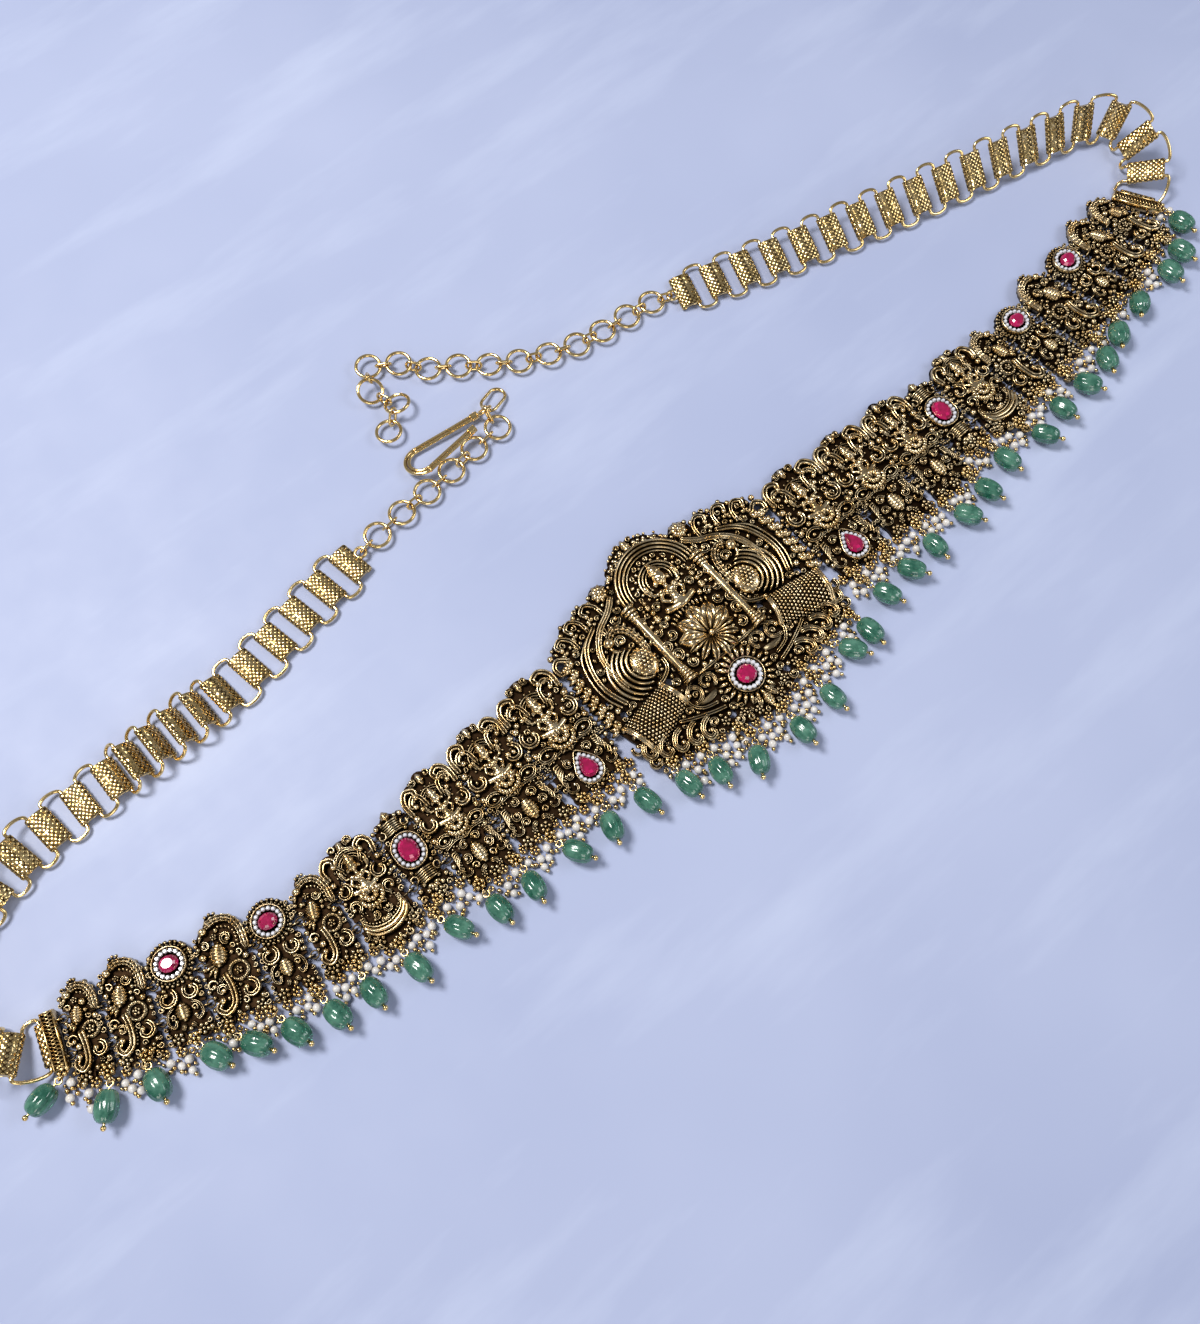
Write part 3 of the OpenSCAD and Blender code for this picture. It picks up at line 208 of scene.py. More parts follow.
# knurled gold: the grooves of its knurl are also painted with shade
KNURL = gold("knurled_gold", (0.96, 0.73, 0.36), (0.84, 0.58, 0.22), (0.030, 0.012, 0.004), (0.14, 0.28),
             reach=0.0009, hollow=(0.15, 0.7), bump=0.1, knurl_groove_shade=True)
FRINGE = gold("fringe_gold", (0.92, 0.69, 0.35), (0.68, 0.44, 0.16), (0.06, 0.022, 0.006), (0.14, 0.28),
              reach=0.0011, hollow=(0.28, 0.86), bump=0.15)
# ruby and white stones: each facet carries a painted light tone
RUBY = stone("ruby", (0.66, 0.004, 0.13), (0.13, 0.0, 0.018), (0.02, 0.05), 0.0, 1.7, 900, coat=0.3, painted_facet_light=True)
WHITE = stone("white_stone", (1.0, 1.0, 1.0), (0.60, 0.63, 0.72), (0.04, 0.12), 0.0, 1.9, 1500, coat=0.5, painted_facet_light=True)
PEARL = stone("pearl", (0.80, 0.77, 0.74), (0.66, 0.62, 0.58), (0.16, 0.28), 0.0, 1.6, 900, coat=0.6)
GREEN = stone("green_stone", (0.14, 0.36, 0.255), (0.02, 0.135, 0.085), (0.10, 0.20), 0.38, 1.55, 320, bump=0.12,
              coat=0.5)
FLOOR = floor_material()


# ---------------------------------------------------------------- shapes
def mat4(x=0, y=0, z=0, turn=0, mirror=False):
    a = radians(turn)
    m = np.eye(4)
    m[:2, :2] = [[cos(a), -sin(a)], [sin(a), cos(a)]]
    m[:3, 3] = [x, y, z]
    if mirror:
        m[:, 0] *= -1
    return m


class Shape:
    """Faces in millimetres; frame is where the next ones are put."""

    def __init__(self):
        self.v, self.f, self.uv, self.n, self.frame = [], [], [], 0, np.eye(4)

    def put(self, v, *faces, uv=None):
        m = self.frame
        v = np.asarray(v, float) @ m[:3, :3].T + m[:3, 3]
        for f in faces:
            f = np.asarray(f, int)
            if len(f):
                self.f.append((f[:, ::-1] if np.linalg.det(m[:3, :3]) < 0 else f) + self.n)
        self.v.append(v)
        self.uv.append(np.zeros((len(v), 2)) if uv is None else uv)
        self.n += len(v)

    def make(self, name, material, slot, smooth=True, replaces=(), uv=False):
        mesh = bpy.data.meshes.new(name)
        mesh.from_pydata((np.concatenate(self.v) * MM).tolist(), [], [row for f in self.f for row in f.tolist()])
        if uv:
            layer = mesh.uv_layers.new(name="UVMap")
            index = np.empty(len(mesh.loops), int)
            mesh.loops.foreach_get("vertex_index", index)
            layer.data.foreach_set("uv", np.concatenate(self.uv)[index].ravel())
        mesh.shade_smooth() if smooth else mesh.shade_flat()
        mesh.materials.append(material)
        o = new_object(name, mesh)
        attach(o, "root")
        if replaces:
            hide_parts(*replaces)


def grid(rows, cols, wrap_rows=False, wrap_cols=False):
    r = np.arange(rows if wrap_rows else rows - 1)
    c = np.arange(cols if wrap_cols else cols - 1)
    i, j = np.meshgrid(r, c, indexing="ij")
    i2, j2 = (i + 1) % rows, (j + 1) % cols
    return np.stack([i * cols + j, i * cols + j2, i2 * cols + j2, i2 * cols + j], -1).reshape(-1, 4)


def turns(n):
    """n angles, even round a circle."""
    return np.arange(n) * 2 * pi / n


def polar(x, y, r, a):
    """The point at distance r from x, y in the direction of a degrees."""
    return x + r * cos(radians(a)), y + r * sin(radians(a))


def fan(first, n, tip, flip=False):
    """Triangles from a ring of n corners to a tip."""
    j = np.arange(n)
    a, b = first + j, first + (j + 1) % n
    return np.stack([b, a, np.full(n, tip)] if flip else [a, b, np.full(n, tip)], -1)


def ball_parts(seg, rows):
    u, a = np.linspace(0, pi, rows + 1)[1:-1], turns(seg)
    ring = np.stack([np.outer(np.sin(u), np.cos(a)), np.outer(np.sin(u), np.sin(a)),
                     np.outer(np.cos(u), np.ones(seg))], -1).reshape(-1, 3)
    n = len(ring)
    caps = np.vstack([fan(0, seg, n), fan(n - seg, seg, n + 1, flip=True)])
    return np.vstack([ring, [0, 0, 1], [0, 0, -1]]), grid(rows - 1, seg, wrap_cols=True)[:, ::-1], caps


COARSE, MEDIUM, FINE = (7, 4), (9, 5), (14, 9)
BALLS = {q: ball_parts(*q) for q in (COARSE, MEDIUM, FINE)}


def ball(s, x, y, z, r, q=MEDIUM, scale=(1, 1, 1)):
    v, quads, tris = BALLS[q]
    s.put(v * r * np.array(scale) + [x, y, z], quads, tris)


def smooth_path(points, n=24):
    """A curve through the points, in even steps of its own parameter."""
    p = np.asarray(points, float)
    last = len(p) - 1
    out = []
    for t in np.linspace(0, last, n):
        i = min(int(t), last - 1)
        u = t - i
        a, b, c, d = (p[min(max(j, 0), last)] for j in range(i - 1, i + 3))
        out.append(0.5 * (2 * b + (c - a) * u + (2 * a - 5 * b + 4 * c - d) * u * u + (3 * b - a - 3 * c + d) * u ** 3))
    return np.array(out)


def arc(x, y, r, a0, a1, n=20, squash=1.0):
    t = np.radians(np.linspace(a0, a1, n))
    return np.stack([x + r * np.cos(t), y + r * squash * np.sin(t)], -1)


def curl(x, y, r, a0, a1, keep=0.42, n=26):
    """A C-scroll that starts at angle a0 and winds in to keep times its radius at a1."""
    t = np.linspace(0, 1, n)
    rad = r * (1 - (1 - keep) * np.clip((t - 0.35) / 0.65, 0, 1) ** 1.5)
    a = np.radians(a0 + (a1 - a0) * t)
    return np.stack([x + rad * np.cos(a), y + rad * np.sin(a)], -1)


HALVES = {"wire": [(0, 1), (0.62, 0.84), (0.94, 0.42), (1, 0)],
          "double": [(0, 0.42), (0.24, 0.84), (0.5, 1), (0.76, 0.94), (0.96, 0.55), (1, 0)],
          "triple": [(0, 1), (0.2, 0.92), (0.42, 0.5), (0.62, 0.86), (0.8, 0.86), (0.97, 0.5), (1, 0)],
          "leaf": [(0, 0.78), (0.12, 1), (0.28, 0.7), (0.44, 0.82), (0.62, 0.5), (0.78, 0.62), (0.94, 0.42), (1, 0)]}
PROFILES = {kind: np.array([(-x, y) for x, y in half[:0:-1]] + half) for kind, half in HALVES.items()}


def headings(p, closed):
    step = np.roll(p, -1, 0) - np.roll(p, 1, 0)
    if not closed:
        step[0], step[-1] = p[1] - p[0], p[-1] - p[-2]
    return step / np.maximum(np.linalg.norm(step, axis=1, keepdims=True), 1e-9)


def lengths(p):
    """Distance along a path of each of its points."""
    return np.concatenate([[0], np.cumsum(np.linalg.norm(np.diff(p, axis=0), axis=1))])


def points_at(p, d):
    """Points of a path at the distances d along it."""
    run = lengths(p)
    return np.column_stack([np.interp(d, run, p[:, 0]), np.interp(d, run, p[:, 1])])


def ribbon(s, path, width, height, kind="wire", z=BED, closed=False, ends=True, ribs=0, depth=0.18):
    """Relief of half-width width that follows a path in plan, rising height above z."""
    p = np.asarray(path, float)
    n = len(p)
    way = headings(p, closed)
    side = np.stack([-way[:, 1], way[:, 0]], -1)
    along = lengths(p)
    w, h = np.ones(n) * width, np.ones(n) * height
    if ends and not closed:
        d = np.minimum(along, along[-1] - along) / max(float(np.max(w)), 1e-6)
        f = np.sqrt(np.clip(1 - (1 - np.clip(d, 0, 1)) ** 2, 0.02, 1))
        w, h = w * f, h * (0.35 + 0.65 * f)
    if ribs:
        wave = np.cos(2 * pi * ribs * along / along[-1])
        w, h = w * (1 + 0.5 * depth * wave), h * (1 + depth * wave)
    prof = PROFILES[kind]
    m = len(prof)
    k = (n - 1) * m
    v = np.concatenate([p[:, None] + side[:, None] * np.outer(w, prof[:, 0])[:, :, None],
                        (z + np.outer(h, prof[:, 1]))[:, :, None]], -1)
    caps = [] if closed else [c for j in range(1, m - 1) for c in ([0, j, j + 1], [k, k + j + 1, k + j])]
    s.put(v.reshape(-1, 3), grid(n, m, wrap_rows=closed, wrap_cols=True)[:, ::-1], caps)


def petal(s, x, y, turn, length, width, height, z=BED, kind="triple", tip=0.75, n=10):
    """A petal that starts at a point and swells towards its tip."""
    t = np.linspace(0, 1, n)
    swell = np.sin(pi * np.clip(t, 0.02, 0.98) ** tip) ** 0.8
    ribbon(s, np.stack(polar(x, y, length * t, turn), -1), width * (0.12 + 0.88 * swell),
           height * (0.3 + 0.7 * swell), kind, z, ends=False)


def tube(s, path, r, sides=8, closed=False):
    p = np.asarray(path, float)
    n = len(p)
    t = headings(p, closed)
    u = np.zeros_like(p)
    last = np.cross(t[0], [0.31, 0.17, 0.93])
    for i in range(n):
        last = last - t[i] * np.dot(last, t[i])
        last /= np.linalg.norm(last)
        u[i] = last
    a = turns(sides)[None, :, None]
    v = p[:, None] + r * (np.cos(a) * u[:, None] + np.sin(a) * np.cross(t, u)[:, None])
    s.put(v.reshape(-1, 3), grid(n, sides, wrap_rows=closed, wrap_cols=True))
    if not closed:
        for i in (0, n - 1):
            s.put(np.vstack([v[i], p[i]]), fan(0, sides, sides, flip=i == 0))


def pillar(s, profile, at, seg=16):
    """A turned solid whose axis runs along Y."""
    r, h = np.array(profile, float).T
    a = turns(seg)
    v = np.stack([np.outer(r, np.cos(a)), np.outer(h, np.ones(seg)), -np.outer(r, np.sin(a))], -1)
    s.put(v.reshape(-1, 3) + np.array(at), grid(len(r), seg, wrap_cols=True))


def flower(s, x, y, z=PLATE, r=1.5, turn=0.0):
    for i in range(5):
        ball(s, *polar(x, y, 0.63 * r, turn + 360 * i / 5 + 90), z + 0.45, 0.37 * r, COARSE, (1, 1, 1.1))
    ball(s, x, y, z + 0.75, 0.27 * r, COARSE)


def cut_stone(s, x, y, z, r, h, seg=8):
    v = [[x + k * r * cos(t), y + k * r * sin(t), z + q * h]
         for k, q in ((0.8, 0), (1, 0.4), (0.6, 1)) for t in turns(seg)]
    s.put(v + [[x, y, z + h]], grid(3, seg, wrap_cols=True), fan(2 * seg, seg, 3 * seg))


def row_of_balls(s, path, r, z, pitch, closed=False):
    p = np.asarray(path, float)
    if closed:
        p = np.vstack([p, p[:1]])
    total = lengths(p)[-1]
    n = max(2, int(round(total / pitch)))
    for x, y in points_at(p, np.linspace(0, total, n, endpoint=not closed)):
        ball(s, x, y, z, r, COARSE)


def ring_outline(r, half=0.0, tip=0.0, n=40):
    """Outline of a round, long or pointed setting about the origin."""
    out = []
    for t in np.linspace(0, 2 * pi, n, endpoint=False):
        x, y = r * cos(t), r * sin(t)
        if half:
            y += half if y >= 0 else -half
        if tip and y > 0:
            k = sin(t)
            y = y + (tip - r) * k ** 3
            x = x * (1 - 0.35 * k ** 3)
        out.append((x, y))
    return np.array(out)


# ---------------------------------------------------------------- places, as in the CAD source
# by side, then outwards from the medallion: x, y and turn of each panel
ROWS = {1: [(0, 4.5, 0), (47.9, 4.5, 0), (66.0, 4.5, 0), (82.7, 4.3, 0), (95.9, 4.1, 1), (109.8, 3.6, 2),
            (123.0, 4.6, 5), (135.4, 5.6, 8), (149.2, 7.7, 10), (163.0, 10.2, 11), (175.4, 12.8, 13),
            (186.3, 15.7, 18), (193.7, 18.2, 30)],
        -1: [(0, 4.5, 0), (-47.9, 4.5, 0), (-66.0, 4.5, 0), (-82.7, 4.4, 0), (-95.9, 4.2, -2), (-109.7, 4.0, -4),
             (-122.8, 5.5, -9), (-134.6, 8.0, -13), (-147.0, 11.6, -16), (-159.3, 15.6, -17), (-170.9, 19.7, -18),
             (-181.1, 23.4, -18), (-188.0, 26.0, -17)]}
END = 12
# by panel: half width to its joints, and places across the row of the eyes at its inner joint
HALF = [37.6, 9.0, 8.2, 7.5, 4.9, 7.6, 5.2, 5.5, 6.7, 5.5, 5.6, 4.3, 1.9]
EYES = [(0, 0)] + [(6, -6)] * 3 + [(9, -5.4)] * 2 + [(4, -5)] * 6 + [(4.5, -4.5)]
EYE_R, EYE_WIRE, EYE_Z = 1.0, 0.22, 1.26
# by side: panel that a bead hangs from, x, y and the direction that it points in
DROPS = {1: [(0, 12.8, -34.2, 270), (0, 26.0, -28.2, 300), (0, 33.2, -27.6, 268), (1, 44.2, -23.0, 286),
             (1, 54.3, -22.2, 298), (2, 64.2, -21.6, 264), (3, 77.8, -21.0, 292), (3, 87.6, -19.4, 278),
             (4, 98.6, -16.4, 270), (5, 112.6, -18.0, 294), (6, 122.6, -15.6, 272), (7, 134.0, -14.8, 290),
             (8, 144.4, -13.0, 240), (8, 153.4, -9.6, 228), (9, 166.0, -6.6, 222), (10, 181.5, -5.2, 262),
             (11, 189.6, -2.6, 268), (12, 197.6, 4.2, 266), (0, 0.6, -35.6, 266)],
         -1: [(0, -13.6, -34.0, 238), (0, -23.0, -29.6, 258), (0, -31.4, -26.8, 272), (1, -42.2, -23.2, 276),
              (1, -53.4, -22.2, 252), (2, -64.0, -21.4, 296), (3, -77.8, -20.8, 262), (3, -87.8, -19.6, 272),
              (4, -98.2, -16.6, 296), (5, -111.6, -17.6, 276), (6, -123.4, -15.2, 270), (7, -133.0, -13.6, 277),
              (8, -142.8, -10.4, 284), (8, -151.6, -6.4, 300), (9, -160.4, -2.4, 292), (10, -174.6, 1.4, 266),
              (11, -186.4, 5.2, 232), (12, -197.2, 16.4, 194)]}


def lobes(x, y, middle=None):
    """A lobe at x to each side, and one between them where middle gives its height."""
    return [(-x, y)] + ([] if middle is None else [(0, middle)]) + [(x, y)]


# by panel: lobes of the lower edge that bails start from; and the medallion's lower rim
LOBES = [[(-29.6, -19.4), (-22.6, -20.2), (-12.6, -20.6), (-0.4, -25), (12.6, -20.6), (22.6, -20.2), (29.6, -19.4)],
         lobes(6.6, -15.6, -15.6), lobes(5.8, -15.6, -15.6), lobes(5.1, -15.6, -15.6), [(0, -10.6)],
         lobes(4.4, -10.6, -13), lobes(3.0, -10.2), lobes(3.2, -10), lobes(4.4, -10.2), lobes(3.2, -10),
         lobes(3.4, -10.2), lobes(2.3, -10.2), [(0, -6.2)]]
RIM = [(-33, -14), (-31, -19), (-24, -20.6), (-14, -22.4), (-6, -25), (0, -26.6), (6, -25), (14, -22.4), (24, -20.6),
       (31, -19), (33, -14)]
BEAD_L, BEAD_Z, SLOPE, GAP = 4.0, 3.22, 11, 1.7
AWAY_X, UP_Y, UP_Z = (1, 0, 0), (0, 1, 0), (0, 0, 1)


def panel_frame(side, i):
    x, y, turn = ROWS[side][i]
    return mat4(x, y, 0, turn, side < 0)


def joint(side, i):
    """Middle and direction of the joint between panels i - 1 and i."""
    a, b = np.array(ROWS[side][i - 1][:2]), np.array(ROWS[side][i][:2])
    d = b - a
    return a + d * HALF[i - 1] / (HALF[i - 1] + HALF[i]), degrees(atan2(d[1], d[0]))


def circle3(c, r, u, v, n=18):
    t = turns(n)
    return np.array(c) + r * (np.outer(np.cos(t), u) + np.outer(np.sin(t), v))


def linking_eyes(s, side, i, flat):
    """The eyes of joint i: the flat one on the inner panel, or the upright one on the outer panel."""
    p, turn = joint(side, i)
    way, stem = (-1, 2.5) if flat else (1, 1.4 if i == END else 2.6)
    for y in EYES[i]:
        s.frame = mat4(p[0], p[1], 0, turn) @ mat4(0, side * y, EYE_Z)
        tube(s, circle3((0.5 * way, 0, 0), EYE_R, AWAY_X, UP_Y if flat else UP_Z), EYE_WIRE, 6, True)
        tube(s, [(way * (1.5 + stem), 0, -0.5), (1.5 * way, 0, 0)], 0.42)
    s.frame = np.eye(4)


def lobe_world(side, i, k):
    x, y, turn = ROWS[side][i] if i else (0, 0, 0)
    a = radians(turn)
    px, py = side * LOBES[i][k][0], LOBES[i][k][1]
    return np.array([x + px * cos(a) - py * sin(a), y + px * sin(a) + py * cos(a)])


def drop_joint(d):
    """Where the pin of a drop meets its bail."""
    c, reach = radians(SLOPE), BEAD_L + GAP
    return np.array([*polar(d[1], d[2], -(reach * cos(c)), d[3]), BEAD_Z - reach * sin(c)])


BAILS = []


def bails(s, side, i):
    s.frame = np.eye(4)
    for sd in (1, -1) if i == 0 else (side,):
        for d in DROPS[sd]:
            if d[0] != i:
                continue
            j = drop_joint(d)
            way = np.array([*polar(0, 0, 1, d[3]), 0])
            knee = j - 1.75 * way - [0, 0, 0.4]
            lobe = min([lobe_world(sd, i, k) for k in range(len(LOBES[i]))], key=lambda q: np.hypot(*(q - j[:2])))
            tube(s, circle3(j - 0.45 * way, 0.8, way, UP_Z), EYE_WIRE, 6, True)
            tube(s, [j - 1.25 * way, knee], 0.34)
            ball(s, *knee, 0.58)
            tube(s, [knee, [lobe[0], lobe[1], PLATE - 0.6]], 0.42)
            BAILS.append((knee[:2], lobe))


# ---------------------------------------------------------------- base plates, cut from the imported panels
def baked(o):
    """The mesh of an object with its modifiers applied."""
    bpy.context.view_layer.update()
    return bpy.data.meshes.new_from_object(o.evaluated_get(bpy.context.evaluated_depsgraph_get()))


def base_plate(node, top=1.39):
    """The flat back plate of a panel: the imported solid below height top, closed again."""
    mesh = nodes[node].data.copy()
    mesh.name = node + "_plate"
    bm = bmesh.new()
    bm.from_mesh(mesh)
    bmesh.ops.remove_doubles(bm, verts=bm.verts, dist=2e-6)
    cut = bmesh.ops.bisect_plane(bm, geom=bm.verts[:] + bm.edges[:] + bm.faces[:], plane_co=(0, 0, top * MM),
                                 plane_no=(0, 0, 1), clear_outer=True, dist=1e-7)
    edges = [e for e in cut["geom_cut"] if isinstance(e, bmesh.types.BMEdge)]
    bmesh.ops.triangle_fill(bm, edges=edges, use_beauty=False, use_dissolve=False, normal=(0, 0, 1))
    bmesh.ops.remove_doubles(bm, verts=bm.verts, dist=2e-6)
    bm.to_mesh(mesh)
    bm.free()
    o = new_object(mesh.name, mesh)
    o.modifiers.new("thin", "DECIMATE").ratio = 0.15
    o.data = mesh = baked(o)
    o.modifiers.clear()
    mesh.shade_flat()
    # the plate's top is painted near-black as shade between the ornament; its underside stays gold
    mesh.materials.clear()
    mesh.materials.append(PAINTED_SHADE_SHEET)
    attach(o, "root")
    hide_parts(node)
    return o


# ---------------------------------------------------------------- close ornament between the main forms
# by panel: half width of the plate alone, and the step of the grids laid over it
PLATE_HALF = [37.6, 9.0, 8.2, 7.4, 4.7, 7.2, 4.9, 5.3, 6.3, 5.3, 5.3, 4.2, 1.6]
CELL = 0.4


def overhang(side, i, outer):
    """How far edge ornament of panel i may stand out over the gap to its neighbour."""
    j = i + 1 if outer else i - 1
    if j < 0 or j > END:
        return 0.3
    a, b = ROWS[side][i], ROWS[side][j]
    gap = hypot(a[0] - b[0], a[1] - b[1]) - PLATE_HALF[i] - PLATE_HALF[j]
    return float(np.clip(gap / 2 - 0.03, 0.1, 1.1))


def over_plate(plate, m, x0, x1, y0, y1):
    """Points of a grid in the panel's own frame, and which of them lie over its plate."""
    bm = bmesh.new()
    bm.from_mesh(plate.data)
    tree = BVHTree.FromBMesh(bm)
    bm.free()
    gx, gy = np.meshgrid(np.arange(x0, x1, CELL), np.arange(y0, y1, CELL), indexing="ij")
    pts = np.stack([gx.ravel(), gy.ravel()], -1)
    world = np.column_stack([pts, np.zeros(len(pts)), np.ones(len(pts))]) @ m.T
    down = Vector((0, 0, -1))
    hits = [tree.ray_cast(Vector((q[0] * MM, q[1] * MM, 0.01)), down)[0] for q in world]
    return pts, np.array([hit is not None and hit.z > BED * MM for hit in hits])


def motif(s, x, y, r, z, pick):
    """One small ornament of radius r: a curl, a flower, a leaf or a ball."""
    a = pick.uniform(0, 360)
    way = 1 if pick.random() < 0.5 else -1
    kind = pick.random()
    if r >= 1.2 or (r >= 0.85 and kind < 0.62):
        wire = "double" if r > 1.3 else "wire"
        scroll(s, x, y, 0.72 * r, a, a + way * 335, 0.27 * r, 0.8 + 0.45 * r, wire, 0.3, 0.4 * r, z)
    elif r >= 0.8 and kind < 0.3:
        flower(s, x, y, z + 0.15, r, a)
    elif r >= 0.8 and kind > 0.72:
        large = r > 1.1
        for k in (-34, 0, 34) if large else (0,):
            petal(s, *polar(x, y, -0.9 * r, a + k), a + k, 1.9 * r, (0.4 if large else 0.6) * r, 1.0 + 0.3 * r, z,
                  "wire", 1.2, 7)
    else:
        ball(s, x, y, z + 0.6 * r, 0.94 * r, MEDIUM if r > 0.7 else COARSE)


def nearest(points):
    """Search tree of points in plan, with one far away so that it is never empty."""
    tree = KDTree(len(points) + 1)
    for k, c in enumerate([*points, (1e3, 1e3)]):
        tree.insert((c[0], c[1], 0), k)
    tree.balance()
    return tree


def fill_in(s, plate, m, box, seed, zmap=None, least=0.68, most=2.0, mirror=False, edges=(0.35, 0.35), eyes=()):
    """Small ornaments wherever the main forms leave the plate bare, the largest gaps first."""
    pick = np.random.default_rng(seed)
    pts, inside = over_plate(plate, m, *box)
    verts = np.concatenate(s.v)
    local = np.column_stack([verts, np.ones(len(verts))]) @ np.linalg.inv(m).T
    local = local[local[:, 2] > 1.6][:, :2]
    taken = nearest(np.unique(np.round(local / (0.6 * CELL)).astype(int), axis=0) * (0.6 * CELL))
    out = nearest(pts[~inside])
    use = pts[inside & (pts[:, 0] > 0.25)] if mirror else pts[inside]
    d = []
    for c in use:
        q = (c[0], c[1], 0)
        near = min([hypot(c[0] - e[0], c[1] - e[1]) - 1.5 for e in eyes] + [9])
        d.append(min(taken.find(q)[2], out.find(q)[2] + edges[int(c[0] > 0)], near))
    d = np.array(d)
    while len(d):
        k = int(np.argmax(d))
        if d[k] < least:
            break
        r = min(float(d[k]), most * pick.uniform(0.7, 1.0))
        x, y = use[k]
        z = zmap(x, y) if zmap else BED
        state = pick.bit_generator.state
        motif(s, x, y, r * 1.06, z, pick)
        if mirror:
            keep = s.frame
            s.frame = keep @ mat4(mirror=True)
            pick.bit_generator.state = state
            motif(s, x, y, r * 1.06, z, pick)
            s.frame = keep
        d = np.minimum(d, np.hypot(use[:, 0] - x, use[:, 1] - y) - r)


def panel_eyes(side, i):
    """Places of the linking eyes beside panel i, in its own frame."""
    inverse = np.linalg.inv(panel_frame(side, i))
    out = []
    for j in (i, i + 1):
        if 1 <= j <= END:
            p, turn = joint(side, j)
            for y in EYES[j]:
                q = inverse @ (mat4(p[0], p[1], 0, turn) @ np.array([0, side * y, 0, 1]))
                out.append((q[0], q[1]))
    return out


# ---------------------------------------------------------------- seated figure, cast in one
# rounded masses in rows of x, y, z and half sizes, and limbs in rows of two ends, radius and number of balls
FIGURE_MIDDLE = [(0, 2.7, 1.2, 2.3, 1.3, 1.3), (0, 4.3, 1.4, 1.15, 1.5, 1.0), (0, 5.9, 1.45, 1.6, 1.35, 1.05),
                 (0, 9.5, 1.8, 1.62, 1.85, 1.45), (0, 11.1, 1.7, 1.8, 0.5, 1.45), (0, 11.85, 1.6, 1.45, 0.62, 1.25),
                 (0, 12.7, 1.5, 0.95, 0.6, 0.95), (0, 13.4, 1.4, 0.5, 0.62, 0.6), (0, 9.35, 3.24, 0.22, 0.46, 0.2),
                 (0, 8.55, 3.1, 0.44, 0.14, 0.17), (0, 7.95, 2.75, 0.46, 0.32, 0.34),
                 (0, 7.2, 1.5, 0, 8.0, 1.6, 0.6, 3)]
FIGURE_PAIR = [(0.72, 5.75, 2.25, 0.72, 0.7, 0.6), (1.75, 6.75, 1.35, 0.72, 0.62, 0.72),
               (0.66, 9.65, 3.08, 0.33, 0.13, 0.15), (0.66, 10.05, 3.0, 0.45, 0.09, 0.15),
               (0.8, 8.9, 2.8, 0.45, 0.4, 0.32), (1.78, 8.8, 1.6, 0.42, 0.7, 0.5), (3.3, 2.5, 1.25, 1.0, 0.9, 1.0),
               (3.1, 2.4, 1.3, 0.4, 1.7, 2.0, 0.85, 7), (1.9, 6.6, 1.3, 2.9, 4.9, 1.5, 0.5, 5),
               (2.9, 4.9, 1.5, 1.9, 3.5, 2.4, 0.44, 5), (1.8, 6.8, 1.0, 3.5, 7.0, 1.0, 0.44, 5),
               (3.5, 7.0, 1.0, 3.9, 8.7, 1.1, 0.4, 5), (3.95, 9.5, 1.1, 0.72, 0.85, 0.7)]


def masses(sg, table):
    """Centre and half sizes of each ball, on the side sg of the middle."""
    out = []
    for x, y, z, *rest in table:
        p = np.array([sg * x, y, z])
        if len(rest) == 3:
            out.append((p, rest))
        else:
            q = np.array([sg * rest[0], rest[1], rest[2]], float)
            out += [(p + (q - p) * t, (rest[3],) * 3) for t in np.linspace(0, 1, rest[4])]
    return out


def figure_mesh():
    """A calm seated figure with a crown, on textbook proportions, made of rounded masses and fused."""
    s = Shape()
    v, quads, tris = BALLS[FINE]
    for c, r in masses(1, FIGURE_MIDDLE) + masses(-1, FIGURE_PAIR) + masses(1, FIGURE_PAIR):
        s.put(v * np.array(r) + c, quads, tris)
    mesh = bpy.data.meshes.new("figure_raw")
    mesh.from_pydata(np.concatenate(s.v).tolist(), [], [row for f in s.f for row in f.tolist()])
    o = new_object("figure_raw", mesh)
    fuse = o.modifiers.new("fuse", "REMESH")
    fuse.mode, fuse.voxel_size = "VOXEL", 0.16
    soft = o.modifiers.new("soft", "SMOOTH")
    soft.iterations, soft.factor = 2, 0.5
    o.modifiers.new("thin", "DECIMATE").ratio = 0.16
    done = baked(o)
    bpy.data.objects.remove(o)
    co = np.empty(len(done.vertices) * 3)
    done.vertices.foreach_get("co", co)
    faces = [list(p.vertices) for p in done.polygons]
    return co.reshape(-1, 3), *(np.array([f for f in faces if len(f) == n]) for n in (4, 3))


FIGURE = figure_mesh()


def placed(m, x, y, z=0.0, k=1.0):
    out = m.copy() @ mat4(x, y, z)
    out[:3, :3] = out[:3, :3] * k
    return out


def lotus(s, x, y, r, z, lower=5, down=0.74):
    """A lotus seen from the front: a fan of plump petals with rims, over a lower row turned down."""
    low_width = 0.66 * down * r * tan(radians(79 / (lower - 1)))
    for a in np.linspace(-88, 88, lower):
        petal(s, x, y, 270 + a, down * r, low_width, 0.3 * r, z, "double", 1.7, 12)
    for a in (66, -66, 34, -34, 0):
        long = r * (1.0 - 0.0018 * abs(a))
        petal(s, x, y, 90 + a, long, 0.25 * r, 0.36 * r, z, "double", 1.5, 14)
        petal(s, x, y, 90 + a, 0.86 * long, 0.12 * r, 0.45 * r, z, "wire", 1.4, 12)
    ball(s, x, y, z + 0.26 * r, 0.09 * r)


